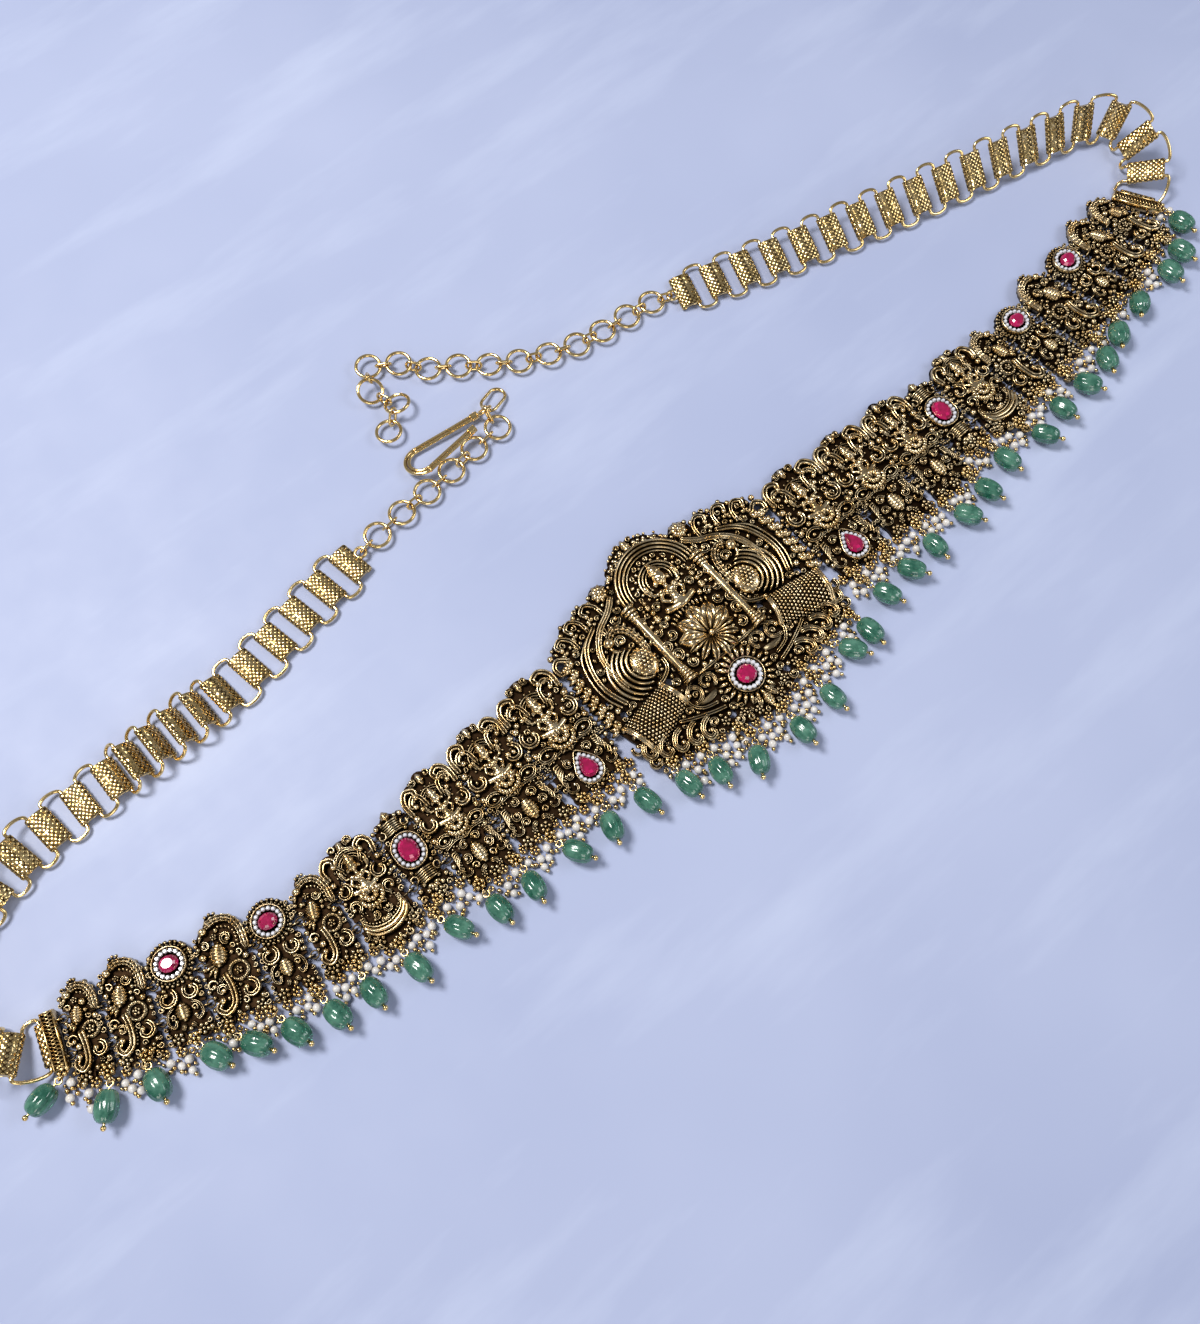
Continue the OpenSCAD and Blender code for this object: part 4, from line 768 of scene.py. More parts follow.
def seated(s, x, y, z, k, bloom=True):
    """The figure on its lotus, with a rayed halo behind the head."""
    keep = s.frame
    for r, w in ((4.5, 0.3), (3.7, 0.28), (2.95, 0.24)):
        ribbon(s, arc(x, y + 9.4 * k, r * k, -30, 210, 24), w * k, 1.1 * k, "wire", z)
    for a in range(-24, 205, 19):
        t = radians(a)
        ball(s, x + 5.2 * k * cos(t), y + (9.4 + 5.2 * sin(t)) * k, z + 0.35 * k, 0.46 * k, COARSE)
    s.frame = placed(keep, x, y, z - 0.4 * k, k)
    s.put(*FIGURE)
    for y0, r, a0, a1, n, size, up, pitch in ((7.0, 1.35, 205, 335, 12, 0.17, 2.45, 0.42),
                                              (6.6, 1.9, 215, 325, 12, 0.17, 2.75, 0.45),
                                              (5.2, 1.9, 230, 310, 10, 0.2, 2.2, 0.5)):
        row_of_balls(s, arc(0, y0, r, a0, a1, n), size, up, pitch)
    s.frame = keep
    if bloom:
        lotus(s, x, y - 1.5 * k, 5.2 * k, z + 0.4)
        # plump folds of the lap over the lotus: number, first angle, step, centre, radii, height, size, width
        for n, a0, step, y0, rx, ry, up, size, wide in ((9, 190, 20, -0.9, 3.1, 2.5, 1.9, 0.95, 0.8),
                                                        (5, 180, 45, -0.6, 1.5, 1.2, 2.7, 0.85, 1)):
            for j in range(n):
                a = radians(a0 + step * j)
                ball(s, x + rx * k * cos(a), y + (y0 + ry * sin(a)) * k, z + up * k, size * k, scale=(wide, 1, 1))


# ---------------------------------------------------------------- small ornaments
def scroll(s, x, y, r, a0, a1, w=0.5, h=1.3, kind="double", keep=0.42, knob=0.62, z=BED):
    path = curl(x, y, r, a0, a1, keep, 26 if r > 1.9 else 15)
    ribbon(s, path, w, h, kind, z)
    ball(s, path[-1, 0], path[-1, 1], z + 0.75 * h, knob)


def sweep(s, points, w=0.5, h=1.3, kind="double", knob=0.0, z=BED, n=26, taper=False, ribs=0):
    path = smooth_path(points, n)
    if taper:
        w = w * (0.25 + 0.75 * np.sin(pi * np.clip(np.linspace(0, 1, n), 0.04, 0.96)) ** 0.6)
    ribbon(s, path, w, h, kind, z, ribs=ribs)
    if knob:
        ball(s, path[-1, 0], path[-1, 1], z + 0.75 * h, knob)


def leaf(s, points, w, h=1.4, n=18):
    swell = np.sin(pi * np.clip(np.linspace(0, 1, n), 0.03, 0.98) ** 0.8) ** 0.75
    ribbon(s, smooth_path(points, n), w * (0.15 + 0.85 * swell), h * (0.45 + 0.55 * swell), "leaf", ends=False)


def ribbed_bud(s, x, y, w, length, h=1.9, z=BED, turn=90, ribs=7):
    """A bud with ribs round it, widest at its foot."""
    t = np.linspace(0, 1, 4 * ribs + 1)
    shape = np.sin(pi * np.clip(t, 0.025, 0.985) ** 0.85) ** 0.62
    wave = 1 + 0.09 * np.cos(2 * pi * ribs * t)
    ribbon(s, np.stack(polar(x, y, length * (t - 0.45), turn), -1), w * shape * wave, h * (0.3 + 0.7 * shape) * wave,
           "wire", z, ends=False)


def shell(s, x, y, r, a0=0, a1=180, rays=7, h=1.5, z=BED):
    for a in np.linspace(a0, a1, rays):
        petal(s, x, y, a, r, 0.85 * r * sin(radians(abs(a1 - a0)) / rays / 2) + 0.12, h, z, "wire", 0.9, 8)


def striated_knob(s, x, y, r, h=1.9, z=BED):
    for k in range(9):
        petal(s, x, y, 40 * k, r, 0.36 * r, h, z, "wire", 0.8, 7)
    ball(s, x, y, z + 0.8 * h, 0.42 * r)


def side_bird(s, x, y, k, flip):
    """A small ribbed bird beside a stone, with a curled tail."""
    for j in range(5):
        sweep(s, [(x + flip * 0.4 * k, y + (1.9 - 0.5 * j) * k),
                  (x - flip * (1.6 + 0.16 * j) * k, y + (1.5 - 1.1 * j) * k),
                  (x - flip * (0.4 + 0.2 * j) * k, y - (1.2 + 1.0 * j) * k)],
              0.34 * k, 1.2 + 0.05 * (j - 50 / 24), "wire", n=10)
    row_of_balls(s, arc(x + flip * 0.6 * k, y + 2.4 * k, 1.0 * k, 30, 210, 8), 0.34 * k, 2.2, 0.7 * k)
    scroll(s, x - flip * 0.5 * k, y - 5.3 * k, 1.7 * k, 90, 90 + flip * 300, 0.38 * k, 1.2, "double", 0.4, 0.5 * k)


SEAT = 2.55


def halo(s, st, y, rim, mid, n_stones, r=0.6, beads=False, row=None):
    """A setting at height y of a panel: a collar, a ledge with small white stones, and balls round its foot."""
    keep = s.frame
    s.frame = st.frame = keep @ mat4(0, y)
    rim, mid = ring_outline(*rim), ring_outline(*mid)
    ribbon(s, rim, 0.26, 2.2, "wire", 1.25, closed=True)
    ribbon(s, mid, 0.78, 1.2, "wire", 1.25, closed=True)
    p = np.vstack([mid, mid[:1]])
    total = lengths(p)[-1]
    for c in points_at(p, np.arange(n_stones) * total / n_stones):
        cut_stone(st, *c, SEAT - 0.15, r, 0.85)
    for c in points_at(p, (np.arange(n_stones) + 0.5) * total / n_stones):
        ball(s, *(c * 1.11), SEAT + 0.45, 0.16, COARSE)
    if beads:
        row_of_balls(s, rim * 1.14, 0.42, 1.75, 1.0, closed=True)
    if row:
        row_of_balls(s, ring_outline(row[0]), *row[1:], closed=True)
    s.frame = st.frame = keep


def fringe_flowers(s, i, r=1.6):
    for x, y in LOBES[i]:
        flower(s, x, y, 1.5, r, rng.uniform(0, 72))


# ---------------------------------------------------------------- the panels
def goddess_panel(s, st, i, w, k):
    u = w / 9.0
    uk = np.array([u, k])
    for x, y in ((-1, 16.9 * k), (1, 16.4 * k)):
        crest = np.array([(8.5, -6.4), (8.6, -2.2), (6.6, 0.2), (4.0, -0.6), (4.5, -2.5)])
        sweep(s, crest * (x * u, 1) + (0, y), 0.85, 2.0, knob=0.85)
        shell(s, x * 6.6 * u, y - 3.6, 2.1, 40, 140, 4, 1.6)
    ribbed_bud(s, 0, 17.4 * k, 1.15, 3.4, 1.8, ribs=3)
    for points in ([(-2.8, 9.0), (-3.6, 13.0), (-6.0, 14.6), (-7.4, 13.2), (-6.6, 12.0)],
                   [(2.8, 9.0), (3.4, 13.0), (5.6, 14.0), (7.2, 12.2), (6.2, 11.2)]):
        sweep(s, uk * points, 0.7, 1.9, knob=0.8)
    for x, y, r in ((-8.3, 8.4, 1.05), (8.3, 8.2, 1.05), (-5.0, 10.4, 0.8), (5.0, 9.6, 0.8), (-8.6, 0.6, 0.9),
                    (8.5, -0.2, 0.9)):
        ball(s, x * u, y * k, 2.3, r)
    for x, y, a0, a1, b0, b1 in ((-1, 5.0, 110, 370, 0, 350), (1, 4.6, 70, -190, 180, -170)):
        scroll(s, x * 6.2 * u, y * k, 2.5 * u, a0, a1, 0.72, 2.0, keep=0.5, knob=0.8)
        ribbon(s, arc(x * 6.0 * u, -1.9, 2.3 * u, b0, b1, 22, 0.72), 0.5, 1.6, "double")
        ball(s, x * 6.0 * u, -1.9, 2.0, 0.7)
        side_bird(s, x * 5.6 * u, -7.2, u, -x)
    sweep(s, np.array([(-7.8, -4.1), (-3.0, -3.4), (0, -4.2), (3.0, -3.4), (7.8, -4.1)]) * (u, 1), 0.4, 1.2)
    seated(s, 0, 0.2, BED, k)
    if i == 1:
        halo(s, st, -11.8, (3.75, 0, 6.3), (3.0, 0, 4.9), 17)
    else:
        ribbed_bud(s, 0, -9.6, 2.5 * u, 6.4, 2.3, ribs=7, turn=90)
        petal(s, -0.5, -13.0, 200, 2.6, 0.7, 1.2)
        petal(s, 0.5, -13.0, -20, 2.6, 0.7, 1.2)
    for x, y in ((-8.3, -4.8), (-2.9, -14.6), (2.9, -14.6), (8.3, -4.8)):
        flower(s, x * u, y, PLATE, 0.95)
    fringe_flowers(s, i)


def barrel_panel(s, st, i):
    halo(s, st, 2.4, (4.1, 0.8), (3.25, 0.8), 18)
    for y0, flare in ((8.4, 0.0), (-6.6, 0.25)):
        for j in range(6):
            w = 2.5 + flare * (5 - j) / 6 + (0.25 if j in (0, 5) else 0)
            ribbon(s, [(w * q, y0 + 0.62 * j) for q in (-1, -0.5, 0, 0.5, 1)], 0.33,
                   np.array([0.9, 1.8, 2.1, 1.8, 0.9]), ends=False)
    ribbed_bud(s, 0, 13.2, 1.3, 3.0, 1.8, ribs=3)
    shell(s, 0, -7.6, 2.4, 200, 340, 5, 1.3)
    for x in (-1, 1):
        for px, py in ((3.6, 11.9), (3.9, -7.8), (2.1, -8.9)):
            ball(s, x * px, py, 2.0, 0.75)
        scroll(s, x * 3.5, 9.4, 1.1, 90, 90 + x * 290, 0.3, 1.1, "wire", 0.5, 0.4)
        scroll(s, x * 3.6, -4.6, 1.1, 270, 270 - x * 290, 0.3, 1.1, "wire", 0.5, 0.4)
    fringe_flowers(s, i, 1.7)


def throne_panel(s, st, i):
    for x in (-1, 1):
        sweep(s, [(x * 6.5, 8.4), (x * 7.0, 11.6), (x * 5.4, 13.7), (x * 3.4, 12.8), (x * 4.0, 11.2)], 0.8, 2.0,
              knob=0.8)
        scroll(s, x * 5.2, 4.4, 1.9, 90, 90 + x * 300, 0.6, 1.8, knob=0.7)
        scroll(s, x * 5.0, -0.6, 1.5, 270, 270 - x * 300, 0.5, 1.6)
        ball(s, x * 6.5, 7.4, 2.2, 0.95)
        ball(s, x * 6.5, 1.9, 1.9, 0.6)
        side_bird(s, x * 4.6, -5.0, 0.7, -x)
        scroll(s, x * 5.9, -10.4, 1.3, 90, 90 + x * 280, 0.32, 1.1, "wire")
    ribbed_bud(s, 0, 14.6, 1.2, 3.2, 1.8, ribs=3)
    sweep(s, [(-2.2, 8.6), (-3.4, 11.4), (-1.6, 13.2), (0, 13.6), (1.6, 13.2), (3.4, 11.4), (2.2, 8.6)], 0.45, 1.5)
    seated(s, 0, 0.4, BED, 0.9)
    # the bowl under the throne
    path = smooth_path([(-6.2, -6.6), (-4.0, -9.2), (0, -10.3), (4.0, -9.2), (6.2, -6.6)], 24)
    for wide, up, w, h in ((1, 0, 0.5, 2.2), (1, 1.15, 0.75, 1.9), (0.94, 2.2, 0.35, 1.6)):
        ribbon(s, path * [wide, 1] + [0, up], w, h)
    row_of_balls(s, path * [0.9, 1] + [0, 3.0], 0.36, 2.2, 0.8)
    shell(s, 0, -6.0, 2.2, 210, 330, 5, 1.3)
    fringe_flowers(s, i)


def peacock_panel(s, st, i, w, k):
    u = w / 5.6
    uk = np.array([u, k])
    # neck, head and crest of the bird form the arch
    sweep(s, [(-5.0 * u, 4.0), *uk * [(-5.0, 8.4), (-3.4, 11.6), (-0.4, 12.6), (2.2, 11.6)]], 1.0, 2.2, "triple", n=40,
          ribs=12)
    nape = smooth_path([(-3.4 * u, 5.6), *uk * [(-3.6, 8.2), (-2.4, 10.0), (-0.6, 10.8)]], 12)
    row_of_balls(s, nape, 0.36, 2.3, 0.85)
    ball(s, 2.8 * u, 11.0 * k, 2.4, 1.15, scale=(1, 0.9, 0.9))
    petal(s, 3.4 * u, 10.6 * k, -60, 2.2, 0.45, 1.2, 1.6, "wire")
    for a in (55, 85, 115):
        ball(s, (0.2 + 2.0 * cos(radians(a))) * u, 12.4 * k + 2.0 * sin(radians(a)), 2.0, 0.5, COARSE)
    ball(s, -4.2 * u, 2.4, 2.0, 0.85)
    ribbed_bud(s, 1.2 * u, 4.6 * k, 2.1 * u, 5.6 * k, 2.7, turn=105)
    for a in (-60, -35, -10):
        petal(s, 1.8 * u, 3.0 * k, a, 3.6 * u, 0.5, 1.8, BED, "wire", 1.3)
    ring = arc(-1.8 * u, -0.2, 2.1 * k, 0, 360, 25)[:-1]
    row_of_balls(s, ring, 0.42, 2.15, 0.95, closed=True)
    ribbon(s, ring, 0.62, 0.9, closed=True)
    flower(s, -1.8 * u, -0.2, 1.6, 1.1)
    scroll(s, 4.3 * u, -1.4, 1.2, 200, -120, 0.34, 1.3, "wire")
    tail = np.array([(1.2, 0.6), (0.5, -3.6), (1.0, -7.4), (3.1, -8.9), (4.6, -7.2), (3.2, -5.8)])
    sweep(s, tail * (u, 1), 0.8, 2.1, knob=0.8)
    row_of_balls(s, smooth_path(np.array([(-0.1, -2.9), (-0.5, -5.2), (0.1, -7.6)]) * (u, 1), 10), 0.3, 2.0, 0.7)
    scroll(s, -3.0 * u, -5.4, 1.9 * k, 80, 390, 0.6, 1.9, "double", 0.4, 0.75)
    for x, y, r in ((-4.9, -8.2, 0.7), (-0.9, -9.4, 0.7), (5.0, 3.0, 0.6), (-1.6, 4.6, 0.6), (4.9, 8.2, 0.6),
                    (4.8, -4.2, 0.55)):
        ball(s, x * u, y, 1.95, r)
    flower(s, 1.0 * u, 9.0 * k, 1.5, 0.95)
    fringe_flowers(s, i)


def rosette_panel(s, st, i):
    halo(s, st, 7.6, (4.15,), (3.25,), 16, beads=True, row=(5.45, 0.52, 1.8, 1.25))
    scroll(s, 2.8, -0.2, 2.0, 120, 440, 0.6, 1.9)
    scroll(s, -3.1, -0.2, 1.8, 60, -260, 0.6, 1.9)
    ribbed_bud(s, 0.4, -4.6, 1.9, 4.8, 2.2, ribs=6)
    for x in (-1, 1):
        sweep(s, [(x * 2.0, -2.6), (x * 3.8, -3.8), (x * 4.3, -6.2), (x * 3.0, -7.4), (x * 2.4, -6.2)], 0.36, knob=0.5)
        ball(s, x * 4.7, -2.2, 1.9, 0.6)
        ball(s, x * 4.8, 1.4, 1.9, 0.6)
        petal(s, x * 0.6, -7.4, 270 + x * 40, 2.0, 0.6, 1.2)
    fringe_flowers(s, i)


def end_bar(s, st, i):
    for x in (-1.45, 1.45):
        ribbon(s, [(x, -7.0), (x, 0), (x, 7.0)], 0.4, 2.1, ends=False)
    for y in (-7.0, 7.0):
        ribbon(s, [(-1.6, y), (0, y), (1.6, y)], 0.4, 2.1, ends=False)
    for y in np.arange(-6.9, 5.8, 0.9):
        for x in (-1, 1):
            ribbon(s, [(-1.1 * x, y), (0, y + 0.65), (1.1 * x, y + 1.3)], 0.24, 2.15 + 0.1 * x, ends=False)


FIELD = 3.5  # height of the medallion's raised field
PILLAR = (12.2, 0, 4.0)
BREAST, CREST, LEAF_TABS = (18.4, 5.2), (20.6, 16.6), 8


def medallion_half(s, core):
    # crest: a crowd of small leaves and scrolls
    striated_knob(s, 14.4, 28.0, 2.9, 2.1)
    for x, y in ((20.6, 26.4), (26.8, 25.4), (31.8, 23.2)):
        sweep(s, [(x - 3.0, y - 4.2), (x - 2.6, y - 0.6), (x - 0.6, y + 1.5), (x + 1.5, y + 0.4), (x + 0.9, y - 1.4)],
              0.62, 1.9, knob=0.75)
        shell(s, x + 0.6, y - 3.2, 1.9, -20, 130, 4, 1.4)
    for x, y, z, r in ((17.6, 24.6, 2.2, 0.8), (23.6, 22.6, 2.2, 0.8), (29.2, 20.4, 2.2, 0.8), (33.6, 18.6, 2.2, 0.8),
                       (18.6, 27.6, 2.2, 0.8), (24.4, 27.2, 2.2, 0.8), (30.2, 25.4, 2.2, 0.8), (12.0, 22.6, 2.6, 0.9),
                       (36.4, 22.2, 2.1, 0.95), (12.8, -5.6, 2.2, 0.85), (17.2, -6.0, 2.2, 0.7),
                       (34.6, -5.2, 2.0, 0.75), (33.6, -8.4, 2.0, 0.75), (10.6, -19.6, 2.0, 0.75),
                       (17.6, -19.8, 2.0, 0.75)):
        ball(s, x, y, z, r)
    for points, w, h, kind, knob, n in (
            # sweeping wires from the knob down round the peacock
            ([(12.4, 25.6), (16.2, 22.4), (21.4, 19.6), (25.4, 14.8), (26.6, 8.6), (25.9, 2.0)],
             0.95, 2.0, "triple", 0, 44),
            ([(21.8, 21.6), (27.2, 18.2), (30.2, 12.6), (31.0, 6.0), (28.9, -0.8)], 0.75, 1.8, "double", 0, 40),
            ([(24.0, 21.0), (30.0, 17.0), (32.4, 10.5), (32.4, 4.4), (30.6, -0.6)], 0.4, 1.5, "wire", 0, 36),
            # foot of the peacock, the edge under the drum, the upper corner, and between drum and ruby flower
            ([(13.8, 3.6), (14.4, 0.4), (17.0, -1.4), (19.0, -1.9)], 0.6, 1.9, "double", 0.7, 16),
            ([(9.6, -17.9), (14.0, -16.6), (19.0, -14.6), (22.4, -12.8)], 0.55, 1.8, "double", 0, 20),
            ([(32.6, 18.2), (35.4, 20.6), (37.4, 19.2), (37.0, 16.8), (35.8, 17.2)], 0.75, 1.9, "double", 0.8, 18),
            ([(6.2, -8.2), (9.2, -6.0), (13.4, -7.0), (16.8, -10.6), (14.8, -14.2), (10.2, -15.6)],
             0.5, 1.5, "double", 0, 30)):
        sweep(s, points, w, h, kind, knob, n=n)
    # peacock: neck, head, crest, tail and scaled breast
    sweep(s, [(15.4, 6.4), (15.2, 11.4), (16.2, 15.2), (18.8, 17.2), (21.4, 16.2)], 1.15, 3.0, "triple", n=40, ribs=11)
    ball(s, 22.0, 15.2, 3.2, 1.55, FINE, (1, 0.95, 0.85))
    ball(s, 22.3, 15.6, 4.45, 0.3, COARSE)
    sweep(s, [(22.6, 14.4), (22.2, 12.6), (20.9, 11.2)], 0.62, 1.6, "wire", z=1.8, n=10, taper=True)
    for a in (60, 82, 104, 126):
        tube(s, [(*polar(*CREST, 1.2, a), 3.0), (*polar(*CREST, 3.2, a), 2.6)], 0.16, 6)
        ball(s, *polar(*CREST, 3.4, a), 2.6, 0.4, COARSE)
    for j in range(5):
        path = arc(18.0 + 0.25 * j, 5.4 - 0.1 * j, 4.9 + 1.15 * j, 88 - 7 * j, -88 + 9 * j, 26)
        ribbon(s, path, 0.62 * (0.3 + 0.7 * np.sin(pi * np.linspace(0, 1, len(path))) ** 0.5), 2.9 - 0.28 * j)
    ball(s, *BREAST, 2.9, 1.0, FINE, (3.9, 4.5, 1.5))
    for j in range(-4, 5):
        for i in range(-4, 5):
            x, y = 1.16 * (i + 0.5 * (j % 2)), 1.0 * j
            q = 1 - (x / 4.0) ** 2 - (y / 4.6) ** 2
            if q > 0.03:
                ball(s, BREAST[0] + x, BREAST[1] + y, 1.5 + 3.0 * sqrt(q), 0.56)
    # pillar with ringed base and head, and small attendants beside it
    pillar(s, [(1.15, -3.6), (1.25, 6), (1.15, 16.6)], PILLAR)
    for r, y in ((2.4, -6.6), (2.0, -5.5), (1.7, -4.5), (1.5, -3.6), (1.4, -2.8), (1.45, 15.6), (1.7, 16.6),
                 (2.05, 17.7), (2.3, 18.9)):
        tube(s, circle3((PILLAR[0], y, PILLAR[2]), r - 0.45, AWAY_X, UP_Z, 18), 0.52, 8, True)
    for y, k in ((11.6, 1.0), (15.6, 0.8)):
        ribbed_bud(s, 7.9, y, 1.15 * k, 3.0 * k, 1.6, FIELD, ribs=4)
        ball(s, 7.9, y + 1.9 * k, 5.1, 0.75 * k)
        ball(s, 9.4, y, 4.3, 0.5)
    drum(s, core)
    # acanthus under the drum, curls at the foot, and scrolls between drum and ruby flower
    for x, y in ((33.8, -13.4), (30.2, -15.6), (26.2, -16.9), (22.2, -18.0), (18.4, -19.2)):
        sweep(s, [(x - 3.4, y + 2.6), (x - 0.8, y + 1.9), (x + 0.9, y - 0.2), (x + 0.2, y - 2.3), (x - 1.4, y - 2.0),
                  (x - 1.2, y - 0.9)], 0.78, 2.3, "triple", 0.65, n=20)
    scroll(s, 35.0, -11.4, 1.5, 60, -240, 0.5, 1.9, knob=0.6)
    scroll(s, 33.6, -17.2, 1.6, 120, -180, 0.5, 1.9, knob=0.6)
    scroll(s, 9.2, -9.4, 2.3, 250, -60, 0.55, 1.7, "triple", 0.42, 0.7)
    scroll(s, 14.6, -9.8, 2.5, 300, 20, 0.6, 1.7, "triple", 0.42, 0.75)
    leaf(s, [(8.6, -12.6), (11.8, -13.2), (15.4, -12.4)], 0.9, 1.5)
    # stacked leaf tabs up the side, and flowers along the foot
    for j in range(LEAF_TABS):
        y = -3.4 + 3.0 * j
        x = 36.5 - max(0, y - 11) * 0.2
        shell(s, x - 1.4, y - 1.2, 3.0, 0, 118, 4, 2.1)
        ball(s, x - 1.9, y + 1.2, 2.1, 0.7)
    for x, y in ((7.2, -21.8), (12.6, -20.6), (22.6, -20.2), (29.6, -19.4), (17.4, -21.2), (33.0, -17.6), (3.8, -24.0)):
        flower(s, x, y, PLATE, 1.45, 20 * x)


def medallion(s, st, core):
    keep = s.frame
    ribbed_bud(s, 0, 33.6, 1.5, 4.6, 2.2, ribs=4)
    for x, y, r in ((2.6, 32.6, 1.1), (4.9, 31.4, 1.0), (7.2, 30.4, 1.1), (9.6, 29.2, 1.0), (3.8, 34.0, 0.7),
                    (6.4, 32.9, 0.7), (8.8, 31.4, 0.7)):
        for sg in (1, -1):
            if r > 0.9:
                shell(s, sg * x, y - 0.8, 1.9, 90 - sg * 75, 90 + sg * 45, 4, 2.0)
            ball(s, sg * x, y + 0.6, 2.6, 0.62 * r)
    row_of_balls(s, arc(0, 19.6, 14.0, 35, 145, 40), 0.55, 2.6, 1.5)
    for sg in (1, -1):
        s.frame = keep @ mat4(mirror=sg < 0)
        medallion_half(s, core)
        s.frame = keep
        petal(s, sg * 1.4, -21.4, 270 + sg * 35, 3.4, 0.8, 1.5)
        petal(s, sg * 0.6, -21.0, 270 + sg * 75, 3.6, 0.7, 1.3)
    # arch round the figure, and the big lotus under it
    for r, w, h in ((12.0, 0.42, 1.5), (11.0, 0.42, 1.5), (9.9, 0.42, 1.3), (8.9, 0.3, 1.1)):
        ribbon(s, arc(0, 19.6, r, -4, 184, 48), w, h, "wire", FIELD)
    ribbon(s, [(-13, -6.6), (-6, -6.9), (0, -7.0), (6, -6.9), (13, -6.6)], 0.5, 1.2, "double", 3.4)
    seated(s, 0, 8.4, 3.6, 1.22, False)
    for x in np.arange(-5.2, 5.3, 1.04):
        petal(s, x, 8.0 - 0.06 * x * x, 90 - 4 * x, 2.6, 0.46, 1.9, FIELD, "wire", 1.2, 8)
    lotus(s, 0, -0.8, 10.0, FIELD, 7, 0.76)
    # ruby flower with rayed petals; its upper ones lie on the field
    for j in range(24):
        up = 2 < j < 10
        petal(s, 5.0 * cos(j * pi / 12), -14.8 + 5.0 * sin(j * pi / 12), 15 * j, 3.3, 0.66, 1.9 - 0.6 * up,
              BED + 2.2 * up, "wire", 0.8, 7)
    halo(s, st, -14.8, (4.85,), (3.78,), 18, r=0.7, row=(5.3, 0.3, 2.0, 0.75))
    ribbed_bud(s, 0, -23.4, 1.5, 4.6, 2.3, turn=270, ribs=6)


def drum(s, core):
    """A drum of woven beads: a tapered barrel half sunk in the plate, covered in small beads, with roped ends."""
    keep = s.frame
    s.frame = core.frame = keep @ mat4(25.6, -8.2, PLATE - 0.2, -14)
    axis = (0, -2.4)
    # the core under the beads is painted near-black as shade between them
    core.put([(x, *polar(*axis, 5.2 + 1.1 * (x + 8) / 16, a)) for x in np.linspace(-8, 8, 14)
              for a in np.linspace(22, 158, 18)], grid(14, 18))
    for i, x in enumerate(np.arange(-7.1, 7.2, 0.95)):
        for a in np.linspace(30, 150, 12) + (2.7 if i % 2 else -2.7):
            y, z = polar(*axis, 5.25 + 1.1 * (x + 8) / 16, a)
            if z > 0.15:
                ball(s, x, y, z, 0.47, COARSE)
    a = np.radians(np.linspace(22, 158, 20))
    for x, r in ((-8.1, 5.75), (-7.55, 5.6), (7.5, 6.6), (8.1, 6.75)):
        tube(s, np.stack([np.full(20, x), r * np.cos(a), -2.4 + r * np.sin(a)], -1), 0.42, 7)
    s.frame = keep


def medallion_field():
    """The raised field behind the lotus and the figure."""
    s = Shape()
    arch = [(12.6 * cos(t), 19 + 12.6 * sin(t)) for t in np.linspace(0, pi, 36)]
    foot = [(11 * cos(t), 1 + 11 * sin(t)) for t in np.radians(np.linspace(-133.3, -46.7, 22))]
    p = np.array([(13.5, 19.4)] + arch + [(-13.5, 19.4), (-13.5, -7)] + foot + [(13.5, -7)])
    c = np.array([0, 8.0])
    n = len(p)
    v = [np.column_stack([c + (p - c) * k, np.full(n, z)]) for k, z in ((1.0, 1.2), (1.0, 3.4), (0.985, 3.6))]
    s.put(np.concatenate(v + [[[0, 8.0, 3.6]]]), grid(3, n, wrap_cols=True), fan(2 * n, n, 3 * n))
    # the field is painted near-black as shade behind the figure and lotus
    s.make("medallion_field", PAINTED_SHADE_SHEET, "antique_gold", smooth=False)


# the panels outwards from the medallion, each with its half width and height where they vary
PANELS = {"goddess_1": (goddess_panel, 9.0, 1.0), "goddess_2": (goddess_panel, 8.2, 0.94),
          "goddess_3": (goddess_panel, 7.4, 0.86), "barrel_link": (barrel_panel,), "throne_panel": (throne_panel,),
          "inner_peacock": (peacock_panel, 4.9, 1.0), "inner_rosette": (rosette_panel,),
          "middle_peacock": (peacock_panel, 6.3, 1.08), "outer_rosette": (rosette_panel,),
          "outer_peacock": (peacock_panel, 5.3, 1.0), "end_peacock": (peacock_panel, 4.2, 0.86), "end_bar": (end_bar,)}


def medallion_zone(x, y):
    """Height that small ornament stands on: the raised field, or the plate."""
    x = abs(x)
    field = (x < 13.3 and -6.8 < y < 19.4) or hypot(x, y - 19) < 12.4 or (y < 0 and hypot(x, y - 1) < 10.8)
    return FIELD if field else BED


def edge_trim(s, plate, m, side, i):
    """Balls and small curls along the upright edges of a panel, which close the gap to its neighbours."""
    pick = np.random.default_rng(40 + i)
    pts, inside = over_plate(plate, m, -11, 11, -14, 12)
    eyes = panel_eyes(side, i)
    y = -12.8
    while y < 11:
        r = pick.uniform(0.62, 0.95)
        y += r
        band = inside & (np.abs(pts[:, 1] - y) < 0.75 * CELL)
        if band.any():
            for edge, outer in ((pts[band][:, 0].max(), True), (pts[band][:, 0].min(), False)):
                sg = 1 if outer else -1
                x = edge + sg * (overhang(side, i, outer) - r + 0.2)
                if all(hypot(x - e[0], y - e[1]) > 1.55 + r for e in eyes):
                    if pick.random() < 0.4:
                        ball(s, x, y, 1.75, r * 0.92)
                    else:
                        turn = 90 + 90 * sg
                        scroll(s, x, y, r * 0.72, turn, turn + 330 * sg, 0.3 * r, 1.3, "wire", 0.3, 0.4 * r, 1.15)
        y += r + 0.1


